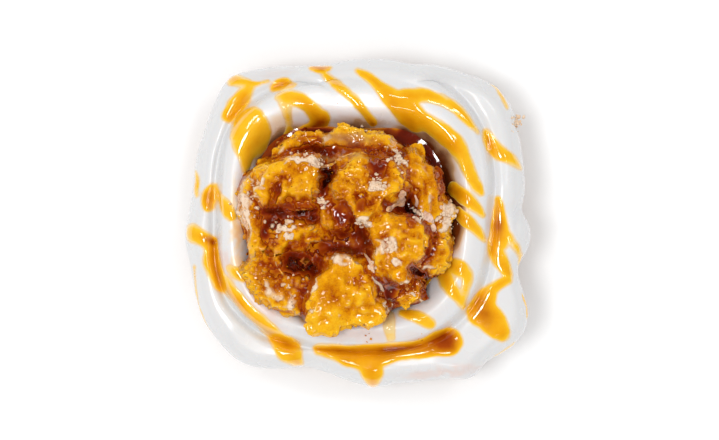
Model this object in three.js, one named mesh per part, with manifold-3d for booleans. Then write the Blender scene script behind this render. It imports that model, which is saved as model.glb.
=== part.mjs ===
// A stuffed cinnamon roll: a square-shouldered coil of dough under poured white icing, drizzled with
// caramel, its middle filled with caramel sauce and heaped with broken pieces of soft cookie.
// Millimetres, +Z up, +X to the right and +Y away as the roll is looked down on. The origin is on the
// flat underside, in the middle of the outline.
import * as THREE from "three";
import { mergeVertices } from "three/addons/utils/BufferGeometryUtils.js";
import Module from "manifold-3d";

const wasm = await Module();
wasm.setup();

// The outline of the iced roll, a rounded square.
const HALF_LENGTH = 53.2; // along X
const HALF_DEPTH = 51.6; // along Y
const OUTLINE_POWER = 3.2; // 2 is an ellipse, and higher is squarer
const LUMPS = [
  // direction in degrees, how far it stands out in mm, how wide it is in degrees
  { at: 4, out: -1.6, wide: 4 },
  { at: 41, out: 2, wide: 9 },
  { at: 70, out: -1.5, wide: 6 },
  { at: 106, out: -2, wide: 9 },
  { at: 131, out: 2, wide: 7 }, // where the dough's tail ends on the side
  { at: 148, out: -1.2, wide: 9 },
  { at: 163, out: -0.9, wide: 10 },
  { at: 184, out: 1.9, wide: 9 },
  { at: 222, out: -1, wide: 10 },
  { at: 250, out: -4.8, wide: 13 },
  { at: 275, out: 1.1, wide: 6 },
  { at: 306, out: 2.7, wide: 5 },
  { at: 327, out: 4.5, wide: 10 },
  { at: 343, out: -2.3, wide: 6 },
  { at: 355, out: 1.8, wide: 8 },
];

// Heights of the iced surface.
const CREST_Z = 51; // the ring round the stuffing
const WELL_Z = 37; // the floor of the hollow in the middle
const SHOULDER_WIDE = 6.5; // the rounding over the edge
const SHOULDER_TALL = 11;
const WALL_LEAN = 2.6; // how much the foot is narrower than the bulge
const FOOT_ROUND = 4;

// The coil, wound outwards anticlockwise round an axis that is off the middle.
const AXIS_X = -2.5;
const AXIS_Y = 3.1;
const COIL_POWER = 2.8;
const COIL_REACH = 40.2; // the groove's distance from the axis where it starts
const COIL_PITCH = 4.4; // how much that grows in a turn
const GROOVE_START = 78; // degrees, just right of the far side
const GROOVE_END = 500;
const TAIL_FROM = 455; // where the tail of the dough swings out to the edge
const TAIL_SWING = 10.5;
const GROOVE_STEP = 5.4; // each coil stands this much above the next one out
const GROOVE_NOTCH = 2.6;
const WELL_FOOT = 25; // the hollow's wall runs from here
const WELL_RIM = 36.5; // up to the crest here
const LIP_FALL = 1.6;

// Icing, drizzle and sauce.
const ICING_TOP = 2.3;
const ICING_SIDE = 1.9;
const ICING_INSET = 1.2; // below its hem the icing's blank runs inside the dough, and is cut away
const GAP = 0.35; // between touching pieces
const HEM_Z = 13;
const DRIPS = [
  { at: 15, down: 5, wide: 9 },
  { at: 52, down: 6, wide: 11 },
  { at: 98, down: 5.5, wide: 9 },
  { at: 141, down: 3, wide: 12 },
  { at: 173, down: 5.5, wide: 9 },
  { at: 210, down: 3.5, wide: 11 },
  { at: 244, down: 6, wide: 10 },
  { at: 278, down: 4.5, wide: 11 },
  { at: 318, down: 5.5, wide: 10 },
  { at: 345, down: 3, wide: 9 },
];
const HEM_WAVES = 1;
const DRIZZLE_RISE = 0.7; // how far the caramel stands above the icing
const DRIZZLE_SINK = 3; // and how far down it fills the grooves under it
const POOL_Z = 42.6; // the sauce's level in the hollow
const POOL_BOTTOM_Z = 34;
const POOL_RADIUS = 34;

// Grid of the roll: points round it, and rings on its surface.
const AROUND = 48;
const WELL_RINGS = 2;

const degrees = THREE.MathUtils.degToRad;
const smooth = (low, high, value) => THREE.MathUtils.smoothstep(value, low, high);
const squircle = (angle, power) =>
  (Math.abs(Math.cos(angle)) ** power + Math.abs(Math.sin(angle)) ** power) ** (-1 / power);

// A bump that is 1 at its own direction and dies away within a few widths.
function bump(angle, at, wide) {
  const away = Math.atan2(Math.sin(angle - degrees(at)), Math.cos(angle - degrees(at)));
  return Math.exp(-((away / degrees(wide)) ** 2));
}

// The outline's radius from the origin: a rounded rectangle with a few lumps.
function outlineRadius(angle) {
  const x = Math.cos(angle) / HALF_LENGTH;
  const y = Math.sin(angle) / HALF_DEPTH;
  const plain = (Math.abs(x) ** OUTLINE_POWER + Math.abs(y) ** OUTLINE_POWER) ** (-1 / OUTLINE_POWER);
  return LUMPS.reduce((radius, lump) => radius + lump.out * bump(angle, lump.at, lump.wide), plain);
}

// The groove's distance from the coil's axis at an angle that goes on past a full turn, in degrees,
// measured in the rounded square's own terms.
function grooveReach(turn) {
  const tail = Math.max(0, turn - TAIL_FROM) / (GROOVE_END - TAIL_FROM);
  return COIL_REACH + (COIL_PITCH * (turn - 90)) / 360 + TAIL_SWING * tail ** 2;
}

// How strongly the groove is cut at that angle.
const grooveStrength = (turn) =>
  smooth(GROOVE_START, GROOVE_START + 34, turn) * (1 - smooth(GROOVE_END - 14, GROOVE_END, turn));

// The height of the iced top: a hollow, the wall up to the crest, then a step down at each groove.
function topHeight(x, y) {
  const angle = Math.atan2(y - AXIS_Y, x - AXIS_X);
  const reach = Math.hypot(x - AXIS_X, y - AXIS_Y) / squircle(angle, COIL_POWER);
  let z = WELL_Z + (CREST_Z - WELL_Z) * smooth(WELL_FOOT, WELL_RIM, reach);
  z -= LIP_FALL * smooth(WELL_RIM, WELL_RIM + 6, reach);
  const first = (THREE.MathUtils.radToDeg(angle) + 360) % 360;
  for (const turn of [first, first + 360]) {
    const past = reach - grooveReach(turn);
    const step = GROOVE_STEP * smooth(-1.4, 1.5, past);
    const notch = GROOVE_NOTCH * Math.exp(-(((past - 1.2) / 1.2) ** 2));
    z -= grooveStrength(turn) * (step + notch);
  }
  return z + 0.45 * Math.sin(x * 0.16 + 0.8) * Math.sin(y * 0.19 + 0.4);
}

// The lower edge of the icing, a wavy hem with drips.
function hemHeight(angle) {
  const waves = HEM_WAVES * (Math.sin(3 * angle + 0.6) + 0.6 * Math.sin(7 * angle + 2.1));
  return DRIPS.reduce((z, drip) => z - drip.down * bump(angle, drip.at, drip.wide), HEM_Z + waves);
}

// How far out from the axis the rings of the top lie, as shares of the way to the shoulder. They keep
// step with the groove, so that its edges stay crisp.
function topShares(angle) {
  const shoulder = outlineRadius(angle) - SHOULDER_WIDE;
  const dx = shoulder * Math.cos(angle) - AXIS_X;
  const dy = shoulder * Math.sin(angle) - AXIS_Y;
  const ray = Math.atan2(dy, dx);
  const turn = (THREE.MathUtils.radToDeg(ray) + 360) % 360;
  const round = squircle(ray, COIL_POWER);
  const change = smooth(55, 90, turn); // the rings move from the outer groove to the inner one
  const outer = grooveReach(turn < 90 ? turn + 360 : turn);
  const groove = turn < 90 ? outer * (1 - change) + grooveReach(90) * change : outer;
  const reach = Math.hypot(dx, dy);
  const shares = [];
  for (let i = 1; i <= WELL_RINGS; i++) shares.push((WELL_FOOT * i) / WELL_RINGS);
  shares.push(29, 32.5, WELL_RIM);
  for (const past of [-1.5, 0, 1.3, 2.8]) shares.push(groove + past);
  const last = shares.at(-1);
  return [...shares.map((far) => (far * round) / reach), ((last * round) / reach + 1) / 2, 1];
}

// One line of the surface, from the axis out over the shoulder and down to the foot, as points.
// The three offsets shrink the iced form: off the top, off the side, and off the side below the hem.
function profile(angle, offTop, offSide, offBelowHem) {
  const shoulder = outlineRadius(angle) - SHOULDER_WIDE;
  const sx = shoulder * Math.cos(angle);
  const sy = shoulder * Math.sin(angle);
  const points = topShares(angle).map((share) => {
    const x = AXIS_X + (sx - AXIS_X) * share;
    const y = AXIS_Y + (sy - AXIS_Y) * share;
    return [x, y, topHeight(x, y) - offTop];
  });
  const shoulderZ = topHeight(sx, sy);
  const hem = hemHeight(angle);
  const side = (out, z) => {
    const off = offSide + (offBelowHem - offSide) * (1 - smooth(hem - 1, hem + 1, z));
    const radius = shoulder + out - off;
    points.push([radius * Math.cos(angle), radius * Math.sin(angle), z]);
  };
  for (const turn of [30, 60, 90]) {
    const down = SHOULDER_TALL * (1 - Math.cos(degrees(turn)));
    const out = SHOULDER_WIDE * Math.sin(degrees(turn));
    side(out, shoulderZ - down - offTop * Math.cos(degrees(turn)));
  }
  const bulge = shoulderZ - SHOULDER_TALL;
  const wallOut = (z) => SHOULDER_WIDE - WALL_LEAN * ((bulge - z) / bulge) ** 1.5;
  for (const z of [(bulge + hem) / 2 + 2, hem + 1.2, hem - 1.2]) side(wallOut(z), z);
  side(wallOut(FOOT_ROUND), FOOT_ROUND);
  side(wallOut(FOOT_ROUND) - FOOT_ROUND * 0.3, FOOT_ROUND * 0.25);
  side(wallOut(FOOT_ROUND) - FOOT_ROUND * 0.7, 0);
  return points;
}

// A closed mesh from a grid of rings: rings[angle][k] is a point, and both ends close on a centre.
function closedMesh(lines, top, bottom) {
  const rings = lines[0].length;
  const positions = [...top, ...bottom, ...lines.flat(2)];
  const at = (i, k) => 2 + (i % lines.length) * rings + k;
  const index = [];
  lines.forEach((line, i) => {
    index.push(0, at(i, 0), at(i + 1, 0), 1, at(i + 1, rings - 1), at(i, rings - 1));
    for (let k = 0; k < rings - 1; k++) {
      index.push(at(i, k), at(i, k + 1), at(i + 1, k));
      index.push(at(i + 1, k), at(i, k + 1), at(i + 1, k + 1));
    }
  });
  return new THREE.BufferGeometry()
    .setAttribute("position", new THREE.Float32BufferAttribute(positions, 3))
    .setIndex(index);
}

// The roll's form as a solid, with the offsets that profile() takes.
function rollForm(offTop, offSide, offBelowHem) {
  const lines = [];
  for (let i = 0; i < AROUND; i++) {
    lines.push(profile((2 * Math.PI * i) / AROUND, offTop, offSide, offBelowHem));
  }
  const top = [AXIS_X, AXIS_Y, topHeight(AXIS_X, AXIS_Y) - offTop];
  return solidOf(closedMesh(lines, top, [0, 0, 0]));
}

// Geometry to manifold solid and back.
const SNAP = 0.02; // corners lie on a grid this fine, so that no edge is shorter
function solidOf(geometry) {
  const bare = geometry.clone();
  bare.deleteAttribute("normal");
  bare.deleteAttribute("uv");
  const corner = bare.attributes.position.array;
  corner.forEach((value, i) => (corner[i] = Math.round(value / SNAP) * SNAP));
  const merged = mergeVertices(bare, SNAP / 4);
  return new wasm.Manifold(
    new wasm.Mesh({
      numProp: 3,
      vertProperties: merged.attributes.position.array,
      triVerts: new Uint32Array(merged.index.array),
    }),
  );
}

function geometryOf(solid) {
  const { vertProperties, triVerts } = solid.getMesh();
  return new THREE.BufferGeometry()
    .setAttribute("position", new THREE.BufferAttribute(vertProperties, 3))
    .setIndex(new THREE.BufferAttribute(triVerts, 1));
}

// A cut can leave scraps and tiny sealed hollows, and only the largest body is the piece.
function largestBody(solid) {
  const bodies = solidOf(geometryOf(solid)).decompose();
  return bodies.reduce((best, body) => (body.volume() > best.volume() ? body : best));
}

// Drizzle of caramel. Each stroke is a run of [x, y, half width] in mm, seen from above, and a stroke
// with a fall runs on down the side from its last point to that height.
const DRIZZLE = [
  { path: [[-39.2, 44.8, 2.4], [-35.5, 43.8, 1.5]] },
  { path: [[-34.4, 41.9, 1.7], [-36, 39.1, 2.6], [-38.2, 36, 2.8], [-40.4, 33.2, 2.1]] },
  { path: [[-33.2, 34.1, 2.2], [-33.8, 29.7, 6], [-33.2, 26, 6.2], [-34.4, 21.8, 3.2]] },
  { path: [[-26.1, 41.8, 1.3], [-23.5, 43, 2.5], [-20.7, 42.6, 1.3]] },
  { path: [[-24.5, 38.8, 1.4], [-18.3, 37.8, 2.3], [-14.6, 35.2, 2.3], [-11.9, 32.3, 3]] },
  { path: [[-10, 45.4, 0.9], [-7.4, 43.3, 1.4], [-1.2, 37.8, 1.6], [4.8, 31.2, 1.3]] },
  { path: [[3.1, 45, 1.4], [6.9, 41.8, 2], [10.6, 38.4, 2.8], [14.6, 34.8, 4], [18.1, 31.2, 3.7]] },
  { path: [[14.6, 38.7, 2.5], [20.8, 39.1, 2.2], [26.4, 37.6, 1.7], [30.8, 34.8, 1.7], [37.1, 28.3, 0.8]] },
  { path: [[16.8, 33.3, 3.7], [22.4, 29.9, 2.8], [27.6, 26.3, 3.1], [31.3, 22.3, 2.8], [38.2, 9, 1.1]] },
  { path: [[40, 27.6, 1.4], [41.5, 24.5, 2.5], [44.5, 21.6, 2.2], [48.3, 19.1, 1.4]] },
  { path: [[29.7, 10.3, 2.2], [33.5, 7.1, 2.2], [36.6, 4.6, 1.7]] },
  { path: [[31.1, 2.8, 1.9], [34.1, 0, 1.9], [37, -2.8, 1.4]] },
  { path: [[43.9, 6.9, 1], [44.2, -1, 2.7], [44.2, -5, 3.4], [43, -8.8, 2.8], [47, -16.3, 1.6]] },
  { path: [[46.7, -18.2, 1.5], [42.6, -20.7, 1.9], [39.8, -24.5, 3.4], [38.5, -28.2, 4.4]] },
  { path: [[38.5, -28.2, 4.1], [42, -31, 4.2], [45.1, -34.8, 2.7]] },
  { path: [[52.1, -23.4, 0.8], [53.6, -26.7, 1.2]], fall: 24 },
  { path: [[28.1, -13.1, 1.9], [31.3, -14.3, 2.6], [33.8, -17.4, 1.7], [32.6, -23.9, 1.1]] },
  { path: [[13.7, -28.3, 1], [18.3, -29.5, 1.9], [22.4, -31.4, 1.7]] },
  {
    path: [
      [-11.2, -38.3, 2], [-6.9, -40.2, 3], [-2.2, -41.8, 3.6], [3.2, -42.1, 4.2],
      [8.5, -40.9, 3.8], [13.2, -40, 3.3], [19.5, -39.6, 3.1], [24.8, -38, 4.1], [28.2, -37.6, 4.5],
    ],
  },
  { path: [[3.8, -43.9, 4.2], [4.4, -47.7, 3.3], [4.6, -50.9, 2]], fall: 31 },
  { path: [[-52.1, -3.5, 3], [-48.8, -5, 2.5], [-45.8, -6.9, 2.2]] },
  {
    path: [
      [-45.8, -8.2, 2.2], [-45.5, -12.9, 3], [-43.3, -17.3, 3], [-40.2, -21.2, 2.7], [-36.3, -25.5, 2.4],
      [-32.5, -29.2, 2.3], [-28.9, -32.6, 2.5], [-25, -36.3, 3.1], [-21.6, -40.2, 3.8],
    ],
  },
  { path: [[-46.1, 10.6, 0.9], [-47.1, 7.8, 2.3], [-46.8, 5, 1.7]] },
  { path: [[-43.3, 7.5, 1.4], [-40.9, 4.3, 2.2], [-39, 1.8, 1.5]] },
];
const STROKE_STEP = 6; // length of one piece of a stroke
const FALL_STEPS = 2;
const END_REACH = 0.7; // how far a round end goes on, and its width, as shares of the half width
const END_WIDTH = 0.45;
// The caramel's section: shares of its half width across, and how far it stands out of the icing.
const STROKE_SECTION = [
  [1.1, -DRIZZLE_SINK],
  [0.75, DRIZZLE_RISE],
  [-0.75, DRIZZLE_RISE],
  [-1.1, -DRIZZLE_SINK],
];

// The height of the iced surface over a point, which past the shoulder is the rounding over the edge.
function icedHeight(x, y) {
  const angle = Math.atan2(y, x);
  const shoulder = outlineRadius(angle) - SHOULDER_WIDE;
  const past = Math.hypot(x, y) - shoulder;
  if (past <= 0) return topHeight(x, y);
  const out = Math.min(past / SHOULDER_WIDE, 0.96);
  const edge = topHeight(shoulder * Math.cos(angle), shoulder * Math.sin(angle));
  return edge - SHOULDER_TALL * (1 - Math.sqrt(1 - out * out));
}

// The places that a stroke passes, each with its half width.
function strokeSpots({ path, fall }) {
  const run = new THREE.CatmullRomCurve3(path.map(([x, y, half]) => new THREE.Vector3(x, y, half)));
  const steps = Math.max(2, Math.round(run.getLength() / STROKE_STEP));
  const spots = run.getPoints(steps).map(({ x, y, z: half }) => ({
    at: new THREE.Vector3(x, y, icedHeight(x, y)),
    half,
  }));
  if (fall === undefined) return spots;
  const { at, half } = spots.at(-1);
  const angle = Math.atan2(at.y, at.x);
  const radius = outlineRadius(angle);
  for (let i = 1; i <= FALL_STEPS; i++) {
    const z = at.z + ((fall - at.z) * i) / FALL_STEPS;
    spots.push({ at: new THREE.Vector3(radius * Math.cos(angle), radius * Math.sin(angle), z), half });
  }
  return spots;
}

// A stroke as one solid: the section carried along its spots, with round ends.
function strokeSolid(stroke, grow) {
  const spots = strokeSpots(stroke);
  const way = (i) => {
    const before = spots[Math.max(i - 1, 0)].at;
    return spots[Math.min(i + 1, spots.length - 1)].at.clone().sub(before).normalize();
  };
  const stations = spots.map(({ at, half }, i) => ({ at, half, way: way(i), out: outward(at) }));
  const end = ({ at, half, way, out }, sign) => {
    const tip = at.clone().addScaledVector(way, sign * (half * END_REACH + grow));
    return { at: tip, half: half * END_WIDTH, way, out };
  };
  stations.unshift(end(stations[0], -1));
  stations.push(end(stations.at(-1), 1));
  const lines = STROKE_SECTION.map(([share, rise]) =>
    stations.map(({ at, half, way, out }) => {
      const across = new THREE.Vector3().crossVectors(way, out).normalize();
      const spot = at.clone().addScaledVector(across, share * half + Math.sign(share) * grow);
      return spot.addScaledVector(out, rise + Math.sign(rise) * grow).toArray();
    }),
  );
  return solidOf(closedMesh(lines, stations[0].at.toArray(), stations.at(-1).at.toArray()));
}

// The way a stroke stands out of the icing at a spot: up, and round to level over the edge.
function outward({ x, y }) {
  const angle = Math.atan2(y, x);
  const past = Math.hypot(x, y) - outlineRadius(angle) + SHOULDER_WIDE;
  const tilt = Math.asin(THREE.MathUtils.clamp(past / SHOULDER_WIDE, 0, 1));
  const level = Math.sin(tilt);
  return new THREE.Vector3(Math.cos(angle) * level, Math.sin(angle) * level, Math.cos(tilt));
}

// The broken cookie, from the bottom of the heap up. Each piece has its middle, its top and bottom
// height, how its top tips towards X and Y, and then either the directions and distances of its broken
// sides, or half sizes and a turn in degrees, from which uneven sides are drawn by its seed.
const COOKIES = [
  { x: -6, y: -2, low: 43, high: 59, tip: [0.1, -0.1], long: 15.5, wide: 11.5, yaw: 20, seed: 3 },
  { x: -25, y: -18, low: 43, high: 57, tip: [-0.15, -0.2], long: 12.5, wide: 8.5, yaw: -38, seed: 8 },
  { x: -31.8, y: 2, low: 43, high: 58, tip: [-0.25, 0], long: 13.5, wide: 4.8, yaw: 96, seed: 12 },
  { x: -18, y: 22.2, low: 43, high: 56, tip: [0, 0.2], long: 9.2, wide: 4.8, yaw: 24, seed: 5 },
  { x: 1.5, y: 22.6, low: 43, high: 56.5, tip: [0.1, 0.15], long: 14, wide: 5.2, yaw: -5, seed: 9 },
  { x: 19.2, y: 11, low: 43, high: 59.5, tip: [0.2, 0.1], long: 13.6, wide: 5.8, yaw: -66, seed: 14 },
  { x: 23.4, y: -9.4, low: 43, high: 56, tip: [0.2, -0.2], long: 7.6, wide: 4.8, yaw: 62, seed: 6 },
  { x: 25.6, y: 1.6, low: 43, high: 55.5, tip: [0.3, 0], long: 6.6, wide: 4, yaw: 100, seed: 21 },
  { x: 13.8, y: -21.2, low: 43, high: 53.5, tip: [0.1, -0.1], long: 7.6, wide: 5.2, yaw: -8, seed: 17 },
  { x: -20, y: -4.4, low: 47, high: 62, tip: [0, -0.2], long: 9.4, wide: 6, yaw: 10, seed: 11 },
  { x: -7.6, y: 3.6, low: 47, high: 63, tip: [0, 0.1], long: 6.6, wide: 7.4, yaw: 30, seed: 19 },
  {
    ...{ x: -20.5, y: 12, low: 48, high: 66, tip: [-0.12, 0.08], seed: 4 },
    sides: [[0, 9.4], [97, 7.4], [150, 10.4], [182, 10.8], [225, 10], [-90, 8], [-45, 10]],
  },
  {
    ...{ x: 4, y: 11, low: 48, high: 67.5, tip: [0.1, 0.08], seed: 2 },
    sides: [[35, 10.9], [90, 10], [165, 11.8], [229, 8], [-52, 8], [0, 11.4]],
  },
  {
    ...{ x: 13, y: -8.5, low: 48, high: 66, tip: [0.14, -0.12], seed: 7 },
    sides: [[180, 9.2], [130, 10], [90, 9.8], [48, 10.2], [10, 10.2], [-35, 6.8], [-100, 10.4], [-140, 9.6]],
  },
  {
    ...{ x: -3, y: -22, low: 48, high: 64.5, tip: [0.05, -0.2], seed: 10 },
    sides: [[180, 11.6], [-84, 9.8], [-40, 13.6], [20, 8.8], [60, 10], [100, 12], [140, 12.2]],
  },
];
const COOKIE_SIDES = 9; // sides drawn round a piece that states none
const COOKIE_SHARPNESS = 13; // higher is more angular
const CRAG = 0.07; // the crags' size, as a share of a piece's own
const COOKIE_DETAIL = 2;

// Numbers between 0 and 1 that are the same each time for one seed.
function seeded(seed) {
  let state = seed * 9301 + 49297;
  return () => {
    state = (state * 1664525 + 1013904223) % 4294967296;
    return state / 4294967296;
  };
}

// The broken faces of a piece, each with its direction and its distance from the middle.
function brokenFaces(cookie, grow) {
  const random = seeded(cookie.seed);
  const half = (cookie.high - cookie.low) / 2 + grow;
  const faces = [
    { normal: new THREE.Vector3(...cookie.tip, 1).normalize(), far: half },
    { normal: new THREE.Vector3(0, 0, -1), far: half },
  ];
  const drawn = () =>
    Array.from({ length: COOKIE_SIDES }, (_, i) => {
      const turn = (360 * (i + 0.7 * (random() - 0.5))) / COOKIE_SIDES;
      const along = cookie.long * Math.cos(degrees(turn - cookie.yaw));
      const across = cookie.wide * Math.sin(degrees(turn - cookie.yaw));
      return [turn, Math.hypot(along, across) * (0.88 + 0.2 * random())];
    });
  for (const [turn, far] of cookie.sides ?? drawn()) {
    const rise = 0.4 * (random() - 0.25);
    const normal = new THREE.Vector3(Math.cos(degrees(turn)), Math.sin(degrees(turn)), rise).normalize();
    faces.push({ normal, far: far + grow });
  }
  return faces;
}

// A piece of cookie: each direction's radius is where it first meets a broken face, rounded over.
function cookieSolid(cookie, grow = 0) {
  const form = new THREE.IcosahedronGeometry(1, COOKIE_DETAIL);
  const faces = brokenFaces(cookie, grow);
  const spot = form.attributes.position;
  const way = new THREE.Vector3();
  for (let i = 0; i < spot.count; i++) {
    way.fromBufferAttribute(spot, i).normalize();
    let sum = 0;
    for (const { normal, far } of faces) {
      sum += Math.max(0, normal.dot(way) / far) ** COOKIE_SHARPNESS;
    }
    const crag = Math.sin(5 * way.x + cookie.seed) * Math.sin(6 * way.y + 2) * Math.sin(5 * way.z + 1);
    way.multiplyScalar(sum ** (-1 / COOKIE_SHARPNESS) * (1 + CRAG * crag));
    spot.setXYZ(i, way.x, way.y, way.z);
  }
  form.translate(cookie.x, cookie.y, (cookie.low + cookie.high) / 2);
  return solidOf(form);
}

// The pieces.
const dough = rollForm(ICING_TOP + GAP, ICING_SIDE + GAP, ICING_SIDE + GAP);
const doughClear = rollForm(ICING_TOP, ICING_SIDE, ICING_SIDE);
const strokes = (grow) => wasm.Manifold.union(DRIZZLE.map((stroke) => strokeSolid(stroke, grow)));
const icingBlank = rollForm(0, 0, ICING_SIDE + ICING_INSET);
const icing = largestBody(icingBlank.add(strokes(0)).subtract(doughClear));
const icingClear = rollForm(-GAP, -GAP, -GAP).add(strokes(GAP));

const taken = [];
const cookies = COOKIES.map((cookie) => {
  const clear = wasm.Manifold.union([icingClear, ...taken]);
  taken.push(cookieSolid(cookie, GAP));
  return largestBody(cookieSolid(cookie).subtract(clear));
});

const poolBlank = new THREE.CylinderGeometry(POOL_RADIUS, POOL_RADIUS, POOL_Z - POOL_BOTTOM_Z, 12);
poolBlank.rotateX(Math.PI / 2);
poolBlank.translate(AXIS_X, AXIS_Y, (POOL_Z + POOL_BOTTOM_Z) / 2);
const pool = largestBody(solidOf(poolBlank).subtract(wasm.Manifold.union([icingClear, ...taken])));

// Finishes.
const finish = (color, roughness) => new THREE.MeshStandardMaterial({ color, roughness, metalness: 0 });
const bakedDough = finish(0xc98a4a, 0.8);
const whiteIcing = finish(0xf2f0ee, 0.25);
const caramelSauce = finish(0x7a3408, 0.12);
const cookieCrumb = finish(0xcf9540, 0.6);

// The scene graph: the dough carries the icing, the hollow's sauce and the heap of cookie.
const group = new THREE.Group();

function addPiece(name, solid, material) {
  const mesh = new THREE.Mesh(geometryOf(solid), material);
  mesh.name = name;
  group.add(mesh);
}

addPiece("dough_roll", dough, bakedDough);
addPiece("icing", icing, whiteIcing);
addPiece("caramel_pool", pool, caramelSauce);
cookies.forEach((solid, i) => addPiece(`cookie_${String(i + 1).padStart(2, "0")}`, solid, cookieCrumb));

export default group;
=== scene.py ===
"""A stuffed cinnamon roll, dressed: dough, poured icing, caramel drizzle and a glazed heap of cookie.

Shapes are worked out in millimetres in the part's own frame: +Z up, +X to the right and +Y away as the
roll is looked down on, and the origin on the flat underside. They reach Blender in metres.
"""

import functools
from types import SimpleNamespace

import bpy
import numpy as np
from bpy.props import FloatProperty, FloatVectorProperty, IntProperty, PointerProperty
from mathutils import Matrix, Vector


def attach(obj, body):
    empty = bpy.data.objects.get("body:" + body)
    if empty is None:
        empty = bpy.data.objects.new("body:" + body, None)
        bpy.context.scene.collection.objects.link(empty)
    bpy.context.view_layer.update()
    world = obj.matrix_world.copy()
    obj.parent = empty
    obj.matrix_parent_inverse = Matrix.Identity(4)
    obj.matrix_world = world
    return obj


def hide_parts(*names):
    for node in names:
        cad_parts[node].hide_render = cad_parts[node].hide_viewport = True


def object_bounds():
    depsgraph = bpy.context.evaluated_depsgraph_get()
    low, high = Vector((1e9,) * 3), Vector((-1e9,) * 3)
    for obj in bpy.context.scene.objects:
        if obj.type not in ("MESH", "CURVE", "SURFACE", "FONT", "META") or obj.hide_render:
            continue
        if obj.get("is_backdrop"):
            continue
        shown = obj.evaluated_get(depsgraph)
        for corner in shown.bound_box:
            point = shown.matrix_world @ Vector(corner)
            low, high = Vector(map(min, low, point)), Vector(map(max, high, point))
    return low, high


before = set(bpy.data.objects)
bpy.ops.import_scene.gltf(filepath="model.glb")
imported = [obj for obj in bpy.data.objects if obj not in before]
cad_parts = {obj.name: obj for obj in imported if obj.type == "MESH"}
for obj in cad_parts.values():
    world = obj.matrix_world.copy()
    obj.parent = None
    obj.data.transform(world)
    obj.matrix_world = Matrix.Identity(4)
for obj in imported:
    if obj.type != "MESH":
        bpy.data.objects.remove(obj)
CAD_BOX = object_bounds()

bl_info = {
    "name": "Stuffed Cinnamon Roll",
    "version": (1, 0, 0),
    "blender": (4, 5, 0),
    "location": "3D View > Sidebar > Roll",
    "description": "Builds an iced cinnamon roll with caramel drizzle and a heap of glazed cookie",
    "category": "Add Mesh",
}

MM = 0.001
TAU = 2 * np.pi

# The outline of the iced roll, in mm, and its lumps as (direction in degrees, mm outwards, width in
# degrees).
HALF_LENGTH = 53.2
HALF_DEPTH = 51.6
OUTLINE_POWER = 3.2
LUMPS = [
    (4, -1.6, 4),
    (41, 2, 9),
    (70, -1.5, 6),
    (106, -2, 9),
    (131, 2, 7),
    (148, -1.2, 9),
    (163, -0.9, 10),
    (184, 1.9, 9),
    (222, -1, 10),
    (250, -4.8, 13),
    (275, 1.1, 6),
    (306, 2.7, 5),
    (327, 4.5, 10),
    (343, -2.3, 6),
    (355, 1.8, 8),
]

# Heights of the iced surface, in mm.
CREST_Z = 51
WELL_Z = 37
ICING_FLOOR_Z = WELL_Z - 4
SHOULDER_WIDE = 6.5
SHOULDER_TALL = 11
WALL_LEAN = 2.6
LEAN_POWER = 1.5
FOOT_ROUND = 4

# The coil, wound outwards anticlockwise round an axis that is off the middle.
AXIS = np.array([-2.5, 3.1])
COIL_POWER = 2.8
COIL_REACH = 40.2
COIL_REACH_AT = 90  # the turn at which the groove has that reach, in degrees
COIL_PITCH = 4.4
GROOVE_START = 78
GROOVE_END = 500
TAIL_FROM = 455
TAIL_SWING = 10.5
GROOVE_FADE_IN = 34
GROOVE_FADE_OUT = 14
GROOVE_STEP = 5.4
GROOVE_SLOPE = (-2.3, 2.0)  # mm past a groove where its step down begins and ends
GROOVE_NOTCH = 2.6
NOTCH_PAST = 1.2  # mm past a groove where its notch is deepest
NOTCH_WIDE = 1.4
WELL_FOOT = 25
WELL_RIM = 36.5
WELL_CREEP = (84, 34, 3.6)  # direction and width in degrees, and mm, where icing has crept inwards
LIP_FALL = 1.6
LIP_WIDE = 6
NOTCH_AT = (216, 66, 0.5)  # direction and width in degrees of the full notch, and its share elsewhere
GROOVE_STRAY = 0.8  # mm that a groove wanders by, over a size of GROOVE_STRAY_OVER mm
GROOVE_STRAY_OVER = 17
TOP_SWELL = 0.45

# Icing and sauce, in mm, and the drips of the icing's hem as (direction in degrees, mm down, width in
# degrees).
ICING_SIDE = 1.9
HEM_Z = 13
HEM_WAVES = 1
DRIPS = [
    (15, 5, 9),
    (52, 6, 11),
    (98, 5.5, 9),
    (141, 3, 12),
    (173, 5.5, 9),
    (210, 3.5, 11),
    (244, 6, 10),
    (278, 4.5, 11),
    (318, 5.5, 10),
    (345, 3, 9),
]
POOL_Z = 42.6
POOL_REACH = 33.5

# The camera looks straight down from this height over the middle of the photograph's frame.
CAMERA_HEIGHT = 700
CAMERA_OVER = (0.5, 0.6)
CAMERA_LENS = 104.9
SENSOR_WIDTH = 36


def size_property(name, description, millimetres):
    """A length that a user may change."""
    return FloatProperty(name=name, description=description, default=millimetres * MM, unit="LENGTH")


class RollSizes(bpy.types.PropertyGroup):
    """Sizes that change how the roll is finished"""

    drizzle_rise: size_property("Drizzle rise", "How far the thick caramel stands above the icing", 0.4)
    drizzle_wobble: size_property("Drizzle wobble", "How uneven the edges of the drizzle are", 0.4)
    crag_depth: size_property("Crag depth", "How rough the broken cookie is", 1.35)
    crumb_depth: size_property("Crumb depth", "How far crumbs stand out of a broken face", 0.7)
    cookie_grid: IntProperty(
        name="Cookie grid",
        description="Faces along one side of the six-sided grid of a large piece of cookie",
        default=84,
        min=8,
    )


def colour_property(name, description, default):
    """A colour that a user may change."""
    return FloatVectorProperty(
        name=name, description=description, default=default, subtype="COLOR", size=3, min=0, max=1
    )


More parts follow.
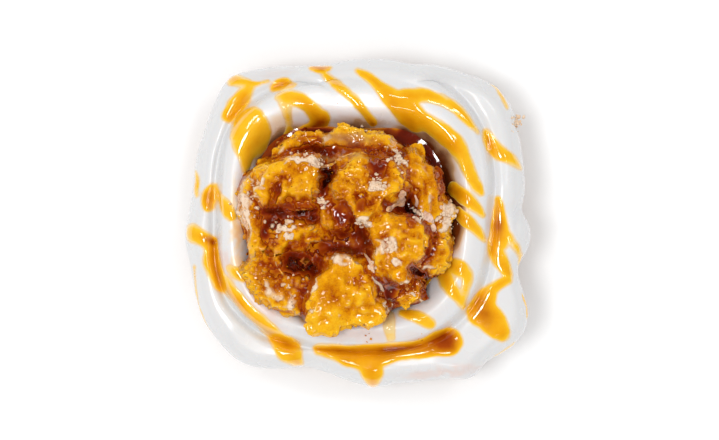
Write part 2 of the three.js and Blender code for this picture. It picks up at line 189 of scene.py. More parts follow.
class RollColours(bpy.types.PropertyGroup):
    """Colours of the roll's finishes, in linear light"""

    icing: colour_property("Icing", "Poured sugar icing", (0.715, 0.71, 0.71))
    hollow: colour_property("Icing in the hollow", "Icing lit by the icing round it", (0.92, 0.895, 0.885))
    # Pinkish grey for cinnamon showing through thin icing, and painted shade on the icing's shaded side.
    cinnamon_and_shade: colour_property("Blush", "Icing that cinnamon shows through", (0.74, 0.585, 0.53))
    # These two colours paint caramel on the hollow's wall, together with painted shade cast there by the
    # heap.
    caramel_and_shade: colour_property("Stain", "Icing under a brown wash of caramel", (0.15, 0.028, 0.004))
    tan: colour_property("Tan", "Icing under a pale wash of caramel", (0.66, 0.41, 0.21))
    film: colour_property("Caramel film", "Caramel so thin that the icing shows", (0.86, 0.66, 0.32))
    yellow: colour_property("Caramel yellow", "A very thin layer of caramel", (0.93, 0.53, 0.02))
    gold: colour_property("Caramel gold", "A thin layer of caramel", (0.84, 0.36, 0.004))
    amber: colour_property("Caramel amber", "A layer of caramel", (0.60, 0.19, 0.0015))
    russet: colour_property("Caramel russet", "A thick layer of caramel", (0.38, 0.062, 0.001))
    brown: colour_property("Caramel brown", "A thicker layer of caramel", (0.21, 0.015, 0.001))
    umber: colour_property("Caramel umber", "Deep caramel", (0.04, 0.003, 0.0006))
    crumb: colour_property("Crumb", "The pale inside of the cookie", (0.90, 0.70, 0.52))
    under: colour_property("Under the glaze", "How the cookie tints the glaze", (0.94, 0.93, 0.8))
    crust: colour_property("Crust", "The golden outside of the cookie", (0.60, 0.27, 0.035))
    dough: colour_property("Dough", "Baked dough", (0.50, 0.25, 0.075))
    baked: colour_property("Baked", "The browned rim of the dough", (0.22, 0.075, 0.018))
    milk: colour_property("Milky caramel", "A sheer film of caramel and icing", (0.45, 0.2, 0.06))
    speck: colour_property("Speck", "Dark specks in the cookie", (0.09, 0.02, 0.004))
    streak: colour_property("Streak", "Icing that lies on the heap", (0.86, 0.6, 0.48))
    floor: colour_property("Floor", "The plain floor", (0.98, 0.98, 0.98))


def sizes():
    """The sizes as the user has set them."""
    return bpy.context.scene.roll_sizes


def colours():
    """The colours as the user has set them."""
    return bpy.context.scene.roll_colours


def smooth(low, high, value):
    """0 below low and 1 above high, with a cubic ease between."""
    share = np.clip((value - low) / (high - low), 0, 1)
    return share * share * (3 - 2 * share)


def length(vectors):
    """The lengths of an array of vectors, kept as a last axis of one."""
    return np.linalg.norm(vectors, axis=-1, keepdims=True)


def unit(vectors):
    """The vectors at a length of one."""
    return vectors / np.maximum(length(vectors), 1e-9)


def bump(angle, at, wide):
    """1 in its own direction in degrees, dying away as a bell over its width in degrees."""
    away = angle - np.radians(at)
    away = np.arctan2(np.sin(away), np.cos(away))
    return np.exp(-((away / np.radians(wide)) ** 2))


def squircle(angle, power):
    """The radius of a rounded square of half width 1: (|cos|^p + |sin|^p)^(-1/p)."""
    return (np.abs(np.cos(angle)) ** power + np.abs(np.sin(angle)) ** power) ** (-1 / power)


def lattice_value(cell, seed):
    """A number from -1 to 1 for each corner of a lattice: its whole numbers multiplied and mixed."""
    mask = 0xFFFFFFFF
    mixed = (cell[..., 0] * 374761393 + cell[..., 1] * 668265263 + cell[..., 2] * 1442695041) & mask
    mixed = (mixed + seed * 362437) & mask
    mixed = ((mixed ^ (mixed >> 13)) * 1274126177) & mask
    mixed = ((mixed ^ (mixed >> 16)) * 2246822519) & mask
    return (mixed ^ (mixed >> 15)) / mask * 2 - 1


def noise(points, size, seed=0):
    """A smooth random field from -1 to 1: lattice values at cubes of that size, blended by an ease."""
    scaled = points / size
    cell = np.floor(scaled).astype(np.int64)
    part = scaled - cell
    ease = part**3 * (part * (part * 6 - 15) + 10)
    total = 0
    for corner in np.ndindex(2, 2, 2):
        weight = np.prod(np.where(corner, ease, 1 - ease), axis=-1)
        total = total + weight * lattice_value(cell + corner, seed)
    return total


def noises(points, *kinds):
    """Noises added up, each given as its amount, its size in mm and its seed."""
    return sum(amount * noise(points, size, seed) for amount, size, seed in kinds)


def pebbles(points, size, seed=0):
    """The height of a bed of round crumbs: 1 at a crumb's middle, falling as a dome to its edge."""
    scaled = points / size
    cell = np.floor(scaled).astype(np.int64)
    nearest = np.full(points.shape[:-1], 9.0)
    for corner in np.ndindex(3, 3, 3):
        around = cell + corner - 1
        jitter = [lattice_value(around, seed + 11 * axis) * 0.45 + 0.5 for axis in range(3)]
        gap = scaled - around - np.stack(jitter, axis=-1)
        nearest = np.minimum(nearest, (gap**2).sum(-1))
    return np.sqrt(np.clip(1 - nearest, 0, 1))


def spread(points):
    """Points on a plane as points in space, for the fields above."""
    return np.concatenate([points[..., :2], np.zeros_like(points[..., :1])], axis=-1)


def outline_radius(angle):
    """The roll's outline: a superellipse, with a bell of each lump added to its radius."""
    across = np.abs(np.cos(angle) / HALF_LENGTH) ** OUTLINE_POWER
    along = np.abs(np.sin(angle) / HALF_DEPTH) ** OUTLINE_POWER
    radius = (across + along) ** (-1 / OUTLINE_POWER)
    return radius + sum(out * bump(angle, at, wide) for at, out, wide in LUMPS)


def coil_place(x, y):
    """A spot's direction round the coil's axis in degrees, and its reach in the rounded square's terms."""
    angle = np.arctan2(y - AXIS[1], x - AXIS[0])
    reach = np.hypot(x - AXIS[0], y - AXIS[1]) / squircle(angle, COIL_POWER)
    return np.degrees(angle) % 360, reach


def coil_reach(points):
    """The reach of points round the coil's axis."""
    return coil_place(points[..., 0], points[..., 1])[1]


def groove_reach(turn):
    """The groove's reach: a spiral that gains one pitch a turn, with a tail that swings out."""
    tail = np.maximum(0, turn - TAIL_FROM) / (GROOVE_END - TAIL_FROM)
    return COIL_REACH + COIL_PITCH * (turn - COIL_REACH_AT) / 360 + TAIL_SWING * tail**2


def groove_strength(turn):
    """How deep the groove is at a turn in degrees: it fades in, and out at the tail."""
    fade_in = smooth(GROOVE_START, GROOVE_START + GROOVE_FADE_IN, turn)
    return fade_in * (1 - smooth(GROOVE_END - GROOVE_FADE_OUT, GROOVE_END, turn))


def groove_shape(x, y):
    """How far down the grooves' steps a spot is, and how near it is to the bottom of a notch."""
    first, reach = coil_place(x, y)
    spot = np.stack([x, y, 0 * x], axis=-1)
    reach = reach + GROOVE_STRAY * noise(spot, GROOVE_STRAY_OVER, 21)
    at, wide, rest = NOTCH_AT
    deep = rest + (1 - rest) * bump(np.radians(first), at, wide)
    stepped = 0
    notched = 0
    for turn in (first, first + 360):
        past = reach - groove_reach(turn)
        strength = groove_strength(turn)
        stepped = stepped + strength * smooth(*GROOVE_SLOPE, past)
        notched = notched + deep * strength * np.exp(-(((past - NOTCH_PAST) / NOTCH_WIDE) ** 2))
    return stepped, notched


def top_height(x, y):
    """The iced top: a hollow, the wall up to the crest, then a step down and a notch at each groove, all
    on a slow swell of two crossed waves."""
    turn, reach = coil_place(x, y)
    stepped, notched = groove_shape(x, y)
    at, wide, inwards = WELL_CREEP
    crept = reach + inwards * bump(np.radians(turn), at, wide)
    z = WELL_Z + (CREST_Z - WELL_Z) * smooth(WELL_FOOT, WELL_RIM, crept)
    z = z - LIP_FALL * smooth(WELL_RIM, WELL_RIM + LIP_WIDE, reach)
    z = z - GROOVE_STEP * stepped - GROOVE_NOTCH * notched
    return z + TOP_SWELL * np.sin(x * 0.16 + 0.8) * np.sin(y * 0.19 + 0.4)


def hem_height(angle):
    """The icing's lower edge: two waves, and a bell downwards for each drip."""
    waves = HEM_WAVES * (np.sin(3 * angle + 0.6) + 0.6 * np.sin(7 * angle + 2.1))
    return HEM_Z + waves - sum(down * bump(angle, at, wide) for at, down, wide in DRIPS)


def wall_out(z, bulge):
    """How far the side stands out of the shoulder line at a height: it leans in towards the foot."""
    return SHOULDER_WIDE - WALL_LEAN * (np.clip(bulge - z, 0, None) / bulge) ** LEAN_POWER


def polar(angle, radius, z):
    """Points from directions, distances from the origin and heights."""
    spots = np.broadcast_arrays(radius * np.cos(angle), radius * np.sin(angle), z)
    return np.stack(spots, axis=-1)


def iced_surface(angle, along):
    """The icing's outside. From 0 to 1 along, a straight run from the coil's axis to the shoulder at the
    top's height, from 1 to 2 a quarter oval over the edge, from 2 to 3 the leaning wall down to the hem."""
    shoulder = outline_radius(angle) - SHOULDER_WIDE
    edge_x = shoulder * np.cos(angle)
    edge_y = shoulder * np.sin(angle)
    share = np.clip(along, 0, 1)
    x = AXIS[0] + (edge_x - AXIS[0]) * share
    y = AXIS[1] + (edge_y - AXIS[1]) * share
    top = np.stack([x, y, top_height(x, y)], axis=-1)
    edge = top_height(edge_x, edge_y)
    turn = np.clip(along - 1, 0, 1) * TAU / 4
    bulge = edge - SHOULDER_TALL
    over = polar(angle, shoulder + SHOULDER_WIDE * np.sin(turn), bulge + SHOULDER_TALL * np.cos(turn))
    z = bulge + (hem_height(angle) - bulge) * np.clip(along - 2, 0, 1)
    wall = polar(angle, shoulder + wall_out(z, bulge), z)
    place = along[..., None]
    return np.where(place <= 1, top, np.where(place <= 2, over, wall))


def iced_height(x, y):
    """The height of the iced surface over a spot, the rounding over the edge included."""
    angle = np.arctan2(y, x)
    shoulder = outline_radius(angle) - SHOULDER_WIDE
    past = np.clip((np.hypot(x, y) - shoulder) / SHOULDER_WIDE, 0, 0.96)
    edge = top_height(shoulder * np.cos(angle), shoulder * np.sin(angle))
    over = edge - SHOULDER_TALL * (1 - np.sqrt(1 - past**2))
    return np.where(past > 0, over, top_height(x, y))


def placed(bounds, counts):
    """Places in a row: so many from each bound to the next, with the last bound included."""
    stretches = zip(bounds, bounds[1:], counts)
    last = bounds[-1]
    rows = [np.linspace(low, high, count, endpoint=high == last) for low, high, count in stretches]
    return np.concatenate(rows)


def ring_grid(lines, along):
    """Directions and places along for a form of rings, as two grids, with so many lines round it."""
    return np.meshgrid(np.linspace(0, TAU, lines, endpoint=False), along, indexing="ij")


def grid_normals(points):
    """Outward normals of a grid that wraps in its first direction: the cross product of its two runs."""
    along = np.gradient(points, axis=1)
    wrapped = np.concatenate([points[-1:], points, points[:1]])
    around = np.gradient(wrapped, axis=0)[1:-1]
    return unit(np.cross(along, around))


def grid_quads(rows, columns, wraps):
    """The corners of a grid's faces, in order, where spot (i, k) is number i * columns + k."""
    i, k = np.meshgrid(np.arange(rows if wraps else rows - 1), np.arange(columns - 1), indexing="ij")
    after = (i + 1) % rows
    own, other = i * columns + k, after * columns + k
    return np.stack([own, own + 1, other + 1, other], axis=-1)


def add_object(name, data):
    """A new object in the scene, at the origin."""
    thing = bpy.data.objects.new(name, data)
    bpy.context.scene.collection.objects.link(thing)
    return thing


def add_mesh(name, points, faces, finish, layers=None):
    """A smooth mesh at the origin from points in mm, with a number on each point for each layer."""
    mesh = bpy.data.meshes.new(name)
    mesh.from_pydata((points * MM).tolist(), [], faces)
    mesh.polygons.foreach_set("use_smooth", np.ones(len(mesh.polygons), bool))
    for layer, values in (layers or {}).items():
        attribute = mesh.attributes.new(layer, "FLOAT", "POINT")
        attribute.data.foreach_set("value", np.ravel(values).astype(np.float32))
    mesh.materials.append(finish)
    mesh.update()
    piece = add_object(name, mesh)
    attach(piece, "root")
    return piece


def closed_rings(points, top, bottom):
    """Points and faces of a form of rings round an upright line, closed on a spot at both ends."""
    rows, columns = points.shape[:2]
    quads = grid_quads(rows, columns, True).reshape(-1, 4)
    first = np.arange(rows) * columns
    after = np.roll(first, -1)
    peak = rows * columns
    cap = np.stack([np.full(rows, peak), first, after], axis=-1)
    foot = np.stack([np.full(rows, peak + 1), after + columns - 1, first + columns - 1], axis=-1)
    spots = np.concatenate([points.reshape(-1, 3), [top], [bottom]])
    return spots, quads.tolist() + cap.tolist() + foot.tolist()


def closed_patch(top, bottom, kept, wraps):
    """Points, faces and the kept spots' numbers of a patch with a thickness: the kept cells of a grid,
    the same cells turned over below, and a strip between them along every open edge."""
    rows, columns = top.shape[:2]
    cells = grid_quads(rows, columns, wraps)
    upper = cells[kept].reshape(-1, 4)
    below = rows * columns
    starts = upper.ravel()
    ends = np.roll(upper, -1, axis=1).ravel()
    open_edge = ~np.isin(starts * below + ends, ends * below + starts)
    starts = starts[open_edge]
    ends = ends[open_edge]
    strip = np.stack([ends, starts, starts + below, ends + below], axis=-1)
    faces = np.concatenate([upper, upper[:, ::-1] + below, strip])
    used, numbered = np.unique(faces, return_inverse=True)
    spots = np.concatenate([top.reshape(-1, 3), bottom.reshape(-1, 3)])[used]
    return spots, numbered.reshape(faces.shape).tolist(), used % below


def whole_cells(wanted, wraps):
    """The cells to keep so that every wanted spot is inside, with cells that meet at a corner joined."""
    after = np.roll(wanted, -1, axis=0) if wraps else wanted[1:]
    before = wanted if wraps else wanted[:-1]
    kept = before[:, 1:] | before[:, :-1] | after[:, 1:] | after[:, :-1]
    for _ in range(4):
        own, right = kept[:-1, :-1], kept[:-1, 1:]
        down, both = kept[1:, :-1], kept[1:, 1:]
        rising = own & both & ~right & ~down
        falling = right & down & ~own & ~both
        kept[:-1, 1:] |= rising
        kept[:-1, :-1] |= falling
    return kept


# Drizzled caramel. A stroke is spots of (x, y, half width) in mm, how deep its colour is at its start and
# end, and the height that it runs down the side to, if it does.
STROKES = [
    ([(-39.2, 44.8, 2.4), (-35.5, 43.8, 1.5), (-31.6, 43.4, 0.7), (-28.2, 44.3, 0.4)], (0.2, 0.4), None),
    ([(-34.4, 41.9, 1.7), (-36, 39.1, 2.6), (-38.2, 36, 2.8), (-40.4, 33.2, 2.1)], (0.24, 0.32), None),
    (
        [(-33.2, 34.1, 2.2), (-33.8, 29.7, 6), (-33.2, 26, 6.2), (-34.4, 21.8, 3.2), (-35.1, 16, 0.8)],
        (0.13, 0.26),
        None,
    ),
    ([(-26.1, 41.8, 1.3), (-23.5, 43, 2.5), (-20.7, 42.6, 1.3)], (0.36, 0.4), None),
    (
        [(-24.5, 38.8, 1.4), (-22, 38.4, 2.3), (-18.3, 37.8, 2.3), (-14.6, 35.2, 2.3), (-11.9, 32.3, 3)],
        (0.13, 0.42),
        None,
    ),
    ([(-22.6, 37.2, 1.9), (-22, 33.9, 1.2), (-21.6, 30.7, 1), (-22, 27.7, 1.3)], (0.1, 0.18), None),
    ([(-11.9, 31.8, 2.5), (-14.8, 29.8, 1.9), (-18.6, 28.4, 1.4), (-22, 27.1, 1.3)], (0.42, 0.2), None),
    ([(-14.4, 48.1, 0.8), (-11.6, 47.7, 1.4), (-9.4, 48, 1.3)], (0.56, 0.6), None),
    (
        [(-10, 45.4, 0.9), (-7.4, 43.3, 1.4), (-1.2, 37.8, 1.6), (2.9, 33.2, 1.3), (4.8, 31.2, 1.3)],
        (0.32, 0.3),
        None,
    ),
    (
        [
            (0, 47, 0.7), (3.1, 45, 1.4), (6.9, 41.8, 2),
            (10.6, 38.4, 2.8), (14.6, 34.8, 4), (18.1, 31.2, 3.7),
        ],
        (0.36, 0.3),
        None,
    ),
    (
        [(14.6, 38.7, 2.5), (20.8, 39.1, 2.2), (26.4, 37.6, 1.7), (30.8, 34.8, 1.7), (37.1, 28.3, 0.8)],
        (0.26, 0.26),
        None,
    ),
    (
        [
            (16.8, 33.3, 3.7), (22.4, 29.9, 2.8), (27.6, 26.3, 3.1),
            (31.3, 22.3, 2.8), (35.7, 13, 1.9), (38.2, 9, 1.1),
        ],
        (0.32, 0.24),
        None,
    ),
    (
        [(40, 27.6, 1.4), (41.5, 24.5, 2.5), (44.5, 21.6, 2.2), (48.3, 19.1, 1.4), (51.3, 17, 0.6)],
        (0.32, 0.16),
        None,
    ),
    ([(42.8, 43.7, 0.6), (44.4, 42.1, 1), (45.8, 39.1, 0.9), (47, 36.2, 0.8)], (0.3, 0.3), None),
    ([(29.7, 10.3, 2.2), (33.5, 7.1, 2.2), (36.6, 4.6, 1.7), (38.8, 2.2, 0.8)], (0.5, 0.2), None),
    ([(31.1, 2.8, 1.9), (34.1, 0, 1.9), (37, -2.8, 1.4), (39.2, -5.6, 0.7)], (0.48, 0.2), None),
    (
        [
            (43.9, 6.9, 1), (44, 3.1, 1.8), (44.2, -1, 2.7),
            (44.2, -5, 3.4), (43, -8.8, 2.8), (47, -16.3, 1.6),
        ],
        (0.44, 0.3),
        None,
    ),
    ([(47.3, -4.4, 1.1), (49.6, -7.9, 1.1), (51.2, -11, 0.9), (51.3, -13.2, 0.5)], (0.3, 0.3), None),
    ([(46.7, -18.2, 1.5), (42.6, -20.7, 1.9), (39.8, -24.5, 3.4), (38.5, -28.2, 4.4)], (0.3, 0.42), None),
    ([(38.5, -28.2, 4.1), (42, -31, 4.2), (45.1, -34.8, 2.7)], (0.42, 0.3), None),
    ([(28.1, -13.1, 1.9), (31.3, -14.3, 2.6), (33.8, -17.4, 1.7), (32.6, -23.9, 1.1)], (0.32, 0.2), None),
    ([(26.8, -16.5, 2.5), (28.6, -20.2, 2.2), (31.1, -23.3, 1.6), (32.7, -26.1, 0.9)], (0.32, 0.2), None),
    ([(13.7, -28.3, 1), (18.3, -29.5, 1.9), (22.4, -31.4, 1.7)], (0.46, 0.22), None),
    (
        [
            (-11.8, -39.4, 2.2), (-6.9, -40.2, 3), (-2.2, -41.8, 3.6),
            (3.2, -42.1, 4.2), (8.5, -40.9, 3.8), (13.2, -40, 3.3),
            (19.5, -39.6, 3.1), (24.8, -38, 4.1), (28.2, -37.6, 4.5),
        ],
        (0.38, 0.46),
        None,
    ),
    ([(3.8, -43.9, 4.2), (4.4, -47.7, 3.3), (4.6, -50.9, 2)], (0.34, 0.36), 31),
    ([(-52.1, -3.5, 3), (-48.8, -5, 2.5), (-45.8, -6.9, 2.2)], (0.22, 0.42), None),
    (
        [
            (-45.8, -8.2, 2.2), (-45.5, -12.9, 3), (-43.3, -17.3, 3), (-40.2, -21.2, 2.7),
            (-36.3, -25.5, 2.4), (-32.5, -29.2, 2.3), (-28.9, -32.6, 2.5),
            (-25, -36.3, 3.1), (-21.6, -40.2, 3.8), (-19.1, -43.9, 2),
        ],
        (0.32, 0.26),
        None,
    ),
    ([(-46.1, 10.6, 0.9), (-47.1, 7.8, 2.3), (-46.8, 5, 1.7)], (0.44, 0.46), None),
    ([(-44.9, 11, 0.6), (-43.3, 7.5, 1.4), (-40.9, 4.3, 2.2), (-39, 1.8, 1.5)], (0.15, 0.28), None),
    ([(-51.2, 15.7, 0.5), (-50.7, 13.2, 0.6), (-51.2, 10, 0.9), (-50.9, 8.5, 0.6)], (0.36, 0.36), None),
    (
        [(-51.7, -14.5, 0.5), (-50.8, -24.6, 0.5), (-49, -30.4, 0.5), (-46.4, -36.2, 0.4)],
        (0.36, 0.36),
        None,
    ),
    ([(-39.7, -14.6, 1.1), (-37.2, -15.9, 1.8), (-35.4, -17.2, 1.3)], (0.16, 0.4), None),
    ([(52.1, -23.4, 0.8), (53.6, -26.7, 1.2), (53.6, -29.2, 1.1)], (0.46, 0.52), 24),
    ([(49.2, -38.7, 1.1), (47.3, -40.6, 1.4), (43.9, -42.3, 0.8)], (0.28, 0.32), None),
    ([(9.4, -29.3, 1.6), (9.6, -32.2, 1.7), (10.3, -35.7, 1.2)], (0.05, 0.08), None),
]
STROKE_STEP = 0.6
STROKE_BLEND = 0.4
STROKE_MARGIN = 3  # mm round a stroke in which it still counts
STROKE_PINCH = 0.3  # how much a stroke narrows halfway down the side
TONE_BLEND = 1.5  # mm over which the colours of strokes that meet blend
FAR_FIELD = -9.0  # the field in mm and the depth of colour far from every stroke
FAR_TONE = 0.4
STROKE_CLIMB = 0.35  # how much a difference in height counts in the distance from a stroke on the top

# Where the drizzle has gathered and is darker, as ovals seen from above: (x, y, radius across, radius
# along, turn in degrees of the first radius, how much deeper).
DRIZZLE_POOLS = [
    (-6.4, -38.2, 4, 1.6, -15, 0.22),
    (13, -39.4, 6, 1.7, 2, 0.2),
    (27, -37.4, 4.6, 4.4, 0, 0.26),
    (-46.2, -5.4, 2.6, 1.6, -20, 0.3),
    (44, -2, 1.4, 5, -4, 0.16),
    (33.6, -12.6, 2, 1, -20, 0.1),
    (-11.6, 47.8, 2, 1, 0, 0.1),
    (28, 24, 6, 1.4, -40, 0.1),
    (15.5, 31.5, 3.4, 1.6, -40, 0.14),
    (39, -26, 2, 5, 20, 0.1),
    (-22, -38.6, 1.4, 5, 30, 0.1),
]
GROOVE_POOL = 0.14  # how much deeper the drizzle's colour is down in a groove
HEAP_STAIN = 0.4  # how much deeper it is beside the heap
HEAP_STAIN_REACH = (27.5, 31.5)  # the reach where that begins to fade, and where it ends


def spline(points, steps):
    """A run through given points, each stretch a Catmull-Rom cubic of its four nearest points."""
    padded = np.concatenate([points[:1] * 2 - points[1:2], points, points[-1:] * 2 - points[-2:-1]])
    t = np.linspace(0, len(points) - 1, steps)
    start = np.minimum(t.astype(int), len(points) - 2)
    u = (t - start)[:, None]
    a, b, c, d = (padded[start + k] for k in range(4))
    return b + 0.5 * u * (c - a + u * (2 * a - 5 * b + 4 * c - d + u * (3 * (b - c) + d - a)))


def stroke_spots(stroke):
    """Close spots along a stroke on the icing: x, y, z, half width and depth of colour."""
    path, (first_tone, last_tone), fall = stroke
    corners = np.array(path, float)
    run = length(np.diff(corners[:, :2], axis=0)).sum()
    steps = max(4, int(run / STROKE_STEP))
    x, y, half = spline(corners, steps).T
    spots = np.stack([x, y, iced_height(x, y), half], axis=-1)
    if fall is not None:
        start = spots[-1]
        angle = np.arctan2(start[1], start[0])
        z = np.arange(start[2], fall, -STROKE_STEP)
        swell = start[3] * (1 - STROKE_PINCH * np.sin(np.linspace(0, np.pi, len(z))))
        falling = np.column_stack([polar(angle, outline_radius(angle), z), swell])
        spots = np.concatenate([spots, falling])
    tone = np.linspace(first_tone, last_tone, len(spots))
    return np.column_stack([spots, tone])


def stroke_field(points, wobble):
    """How far inside the caramel each point is, in mm, and the depth of its colour there. A stroke's own
    field is its half width less the distance to its nearest spot, in which height counts for less on the
    top, and strokes that meet blend softly."""
    flat = points.reshape(-1, 3)
    inside = np.full(len(flat), FAR_FIELD)
    tone = np.full(len(flat), FAR_TONE)
    for stroke in STROKES:
        weights = np.array([1, 1, 1 if stroke[2] else STROKE_CLIMB])
        spots = stroke_spots(stroke)
        margin = (spots[:, 3].max() + STROKE_MARGIN) / weights
        low = spots[:, :3].min(0) - margin
        high = spots[:, :3].max(0) + margin
        near = np.flatnonzero(((flat > low) & (flat < high)).all(-1))
        if not len(near):
            continue
        gap = length((flat[near, None, :] - spots[None, :, :3]) * weights)[..., 0]
        field = spots[None, :, 3] - gap
        best = field.argmax(1)
        own = field[np.arange(len(near)), best]
        before = inside[near]
        share = smooth(-TONE_BLEND, TONE_BLEND, own - before)
        tone[near] = tone[near] * (1 - share) + spots[best, 4] * share
        inside[near] = STROKE_BLEND * np.logaddexp(before / STROKE_BLEND, own / STROKE_BLEND)
    inside += wobble * noises(flat, (0.7, 4.2, 31), (0.4, 1.9, 32))
    tone = tone + painted(flat, DRIZZLE_POOLS) + GROOVE_POOL * groove_shape(flat[:, 0], flat[:, 1])[1]
    tone = tone + HEAP_STAIN * (1 - smooth(*HEAP_STAIN_REACH, coil_reach(flat)))
    return inside.reshape(points.shape[:-1]), tone.reshape(points.shape[:-1])


# Caramel that has run from the heap onto the wall of the hollow, darkened further by painted shade of the
# heap:
# direction round the coil's axis and width in degrees, the reach up to which it is dark, the reach where it
# ends, and how dark it is.
WALL_CARAMEL_AND_SHADE = [
    (40, 13, 29, 32.5, 0.95),
    (56, 8, 28, 29.6, 0.85),
    (14, 14, 32, 34, 1),
    (357, 10, 34.6, 37, 1.1),
    (140, 12, 29.5, 33, 0.8),
    (172, 8, 28, 30.5, 0.4),
    (236, 22, 28, 30.5, 0.55),
    (247, 7, 33, 35.2, 0.9),
    (300, 16, 28, 30.5, 0.5),
    (338, 12, 29.5, 33.6, 0.6),
]


FOOT_CARAMEL_AND_SHADE = 0.6  # how dark the foot of the wall is all round, with caramel and painted shade
FOOT_CARAMEL_AND_SHADE_REACH = (26, 29.6)  # the reach where that begins to fade, and where it ends
RUN_WIDEN = 1.15  # how much wider a run's bell is than its width, and the power that flattens the bell
RUN_FLATTEN = 0.7
RUN_SHOWS = (0.02, 0.4)  # the height of the bell at which a run begins to show, and shows in full
RUN_FADE = (-3.4, 0.8)  # mm from a run's end where its colour begins to fade, and where it is gone
WALL_END = 45  # the reach past which nothing is wall


def wall_caramel_and_shade(points):
    """How brown the hollow's wall is with caramel and with painted shade from the heap: for each run, a
    bell round the coil times an ease from its dark reach out to its end, unevenly shifted."""
    turn, reach = coil_place(points[..., 0], points[..., 1])
    reach = reach + noises(points, (1.3, 7, 41), (0.5, 2.4, 42))
    depth = FOOT_CARAMEL_AND_SHADE * (1 - smooth(*FOOT_CARAMEL_AND_SHADE_REACH, reach))
    for at, wide, dark, end, tone in WALL_CARAMEL_AND_SHADE:
        share = bump(np.radians(turn), at, wide * RUN_WIDEN) ** RUN_FLATTEN
        faded = smooth(*RUN_FADE, reach - dark - (end - dark) * share)
        depth = np.maximum(depth, tone * (1 - faded) * smooth(*RUN_SHOWS, share))
    return np.where(reach < WALL_END, depth, 0)


class RollPieceOperator:
    """What the operators that make a piece have in common"""

    bl_options = {"REGISTER", "UNDO"}


# The icing's grid: lines round it, the places along it in the terms of iced_surface, and the rings from
# each place to the next, over the hollow, the top, the edge and the wall. Then those of hem and inside.
ICING_AROUND = 640
ICING_PLACES = (0.04, 0.5, 1, 2, 2.97)
ICING_RINGS = (6, 80, 14, 34)
HEM_RINGS = 9
INSIDE_RINGS = 7
HEM_TALL = 1.25  # how tall the half round of the hem is for its width
HEM_SWELL = 0.3  # mm that the wall stands out further just over the hem, and where
HEM_SWELL_AT = 2.9
HEM_SWELL_WIDE = 0.09
RUN_STRETCH = np.array([1, 1, 0.22])  # makes noise into runs down the wall
ICING_COVER = 0.8  # mm that the icing's inside is deeper in the dough than the icing is thick
FILM_HALO = 0.3  # how deep the colour of the film of caramel round the drizzle is
FILM_HALO_EDGE = (-0.9, 0.5)  # mm inside the drizzle where the film begins, and where it is full


def pour_relief(points, along):
    """The slow lumps of poured icing: wide noise on top, and runs down the wall that swell at the hem."""
    lumps = noises(points, (0.34, 15, 51), (0.16, 6.5, 52))
    runs = noises(points * RUN_STRETCH, (0.5, 11, 53), (0.16, 5.5, 54))
    wall = smooth(1.3, 2.2, along)
    hollow = smooth(0.5, 0.6, along)
    relief = lumps * hollow * (1 - 0.5 * wall) + wall * (0.6 * runs - 0.3) + fold_relief(points)
    swell = HEM_SWELL * np.exp(-(((along - HEM_SWELL_AT) / HEM_SWELL_WIDE) ** 2))
    return relief * (1 - smooth(2.6, 3, along)) + swell


# Creases where lobes of icing meet on the outer coil, as runs of spots seen from above, in mm.
FOLDS = [
    [(-37, 43.6), (-28.1, 45.6), (-22.8, 46), (-15.6, 46.9), (-11, 45.8)],
    [(-20, 42), (-14.3, 43.1), (-10.3, 42.2), (-6, 40)],
    [(15.5, 49), (17, 47.4), (20.6, 46.4), (24.7, 44.3), (28.8, 40.6)],
    [(33.6, 47.2), (38.1, 43.4), (43.4, 39.6)],
    [(47, 33), (50.4, 30), (52, 26.5)],
    [(50.4, 5.4), (49.6, 0), (50.6, -5)],
    [(36, -44), (43, -38), (48.4, -34)],
    [(-47, 26), (-49, 18), (-49.4, 8)],
    [(-30, -46), (-38, -40), (-43, -32)],
    [(-6, -49), (-13, -48), (-20, -45.4)],
]
FOLD_DEEP = 0.75
FOLD_WIDE = 0.9
FOLD_PILLOW = 0.45  # mm that the icing swells on both sides of a crease, and how wide that is
FOLD_PILLOW_WIDE = 3.2
FOLD_MARGIN = 8
FOLD_SPOTS = 40


def fold_relief(points):
    """The creases of the icing: a narrow bell downwards and a wide one upwards round each run, both
    fading towards the run's ends."""
    flat = points.reshape(-1, 3)
    relief = np.zeros(len(flat))
    for fold in FOLDS:
        x, y = spline(np.array(fold, float), FOLD_SPOTS).T
        low = (x.min() - FOLD_MARGIN, y.min() - FOLD_MARGIN, HEM_Z)
        high = (x.max() + FOLD_MARGIN, y.max() + FOLD_MARGIN, np.inf)
        near = np.flatnonzero(((flat > low) & (flat < high)).all(-1))
        gap = np.hypot(flat[near, :1] - x, flat[near, 1:2] - y)
        place = gap.argmin(1)
        away = gap[np.arange(len(near)), place]
        fade = np.sin(np.pi * (place + 0.5) / FOLD_SPOTS) ** 0.7
        pillow = FOLD_PILLOW * np.exp(-((away / FOLD_PILLOW_WIDE) ** 2))
        relief[near] += (pillow - FOLD_DEEP * np.exp(-((away / FOLD_WIDE) ** 2))) * fade
    return relief.reshape(points.shape[:-1])


def icing_underside(ring, angle):
    """A half round hem under the icing's last ring, and an inside that is hidden in the dough and closes
    towards the axis."""
    radius = length(ring[:, :2])
    half = ICING_SIDE / 2
    turn = np.linspace(0, np.pi, HEM_RINGS + 1)[1:]
    hem = polar(angle, radius - half * (1 - np.cos(turn)), ring[:, 2:] - half * HEM_TALL * np.sin(turn))
    foot = hem[:, -1, 2:]
    share = np.linspace(0, 1, INSIDE_RINGS + 1)[1:]
    narrowed = (radius - ICING_SIDE - ICING_COVER) * (1 - 0.9 * smooth(0.5, 1, share))
    inner = polar(angle, narrowed, foot + (ICING_FLOOR_Z - foot) * smooth(0, 0.7, share))
    return np.concatenate([hem, inner], axis=1)


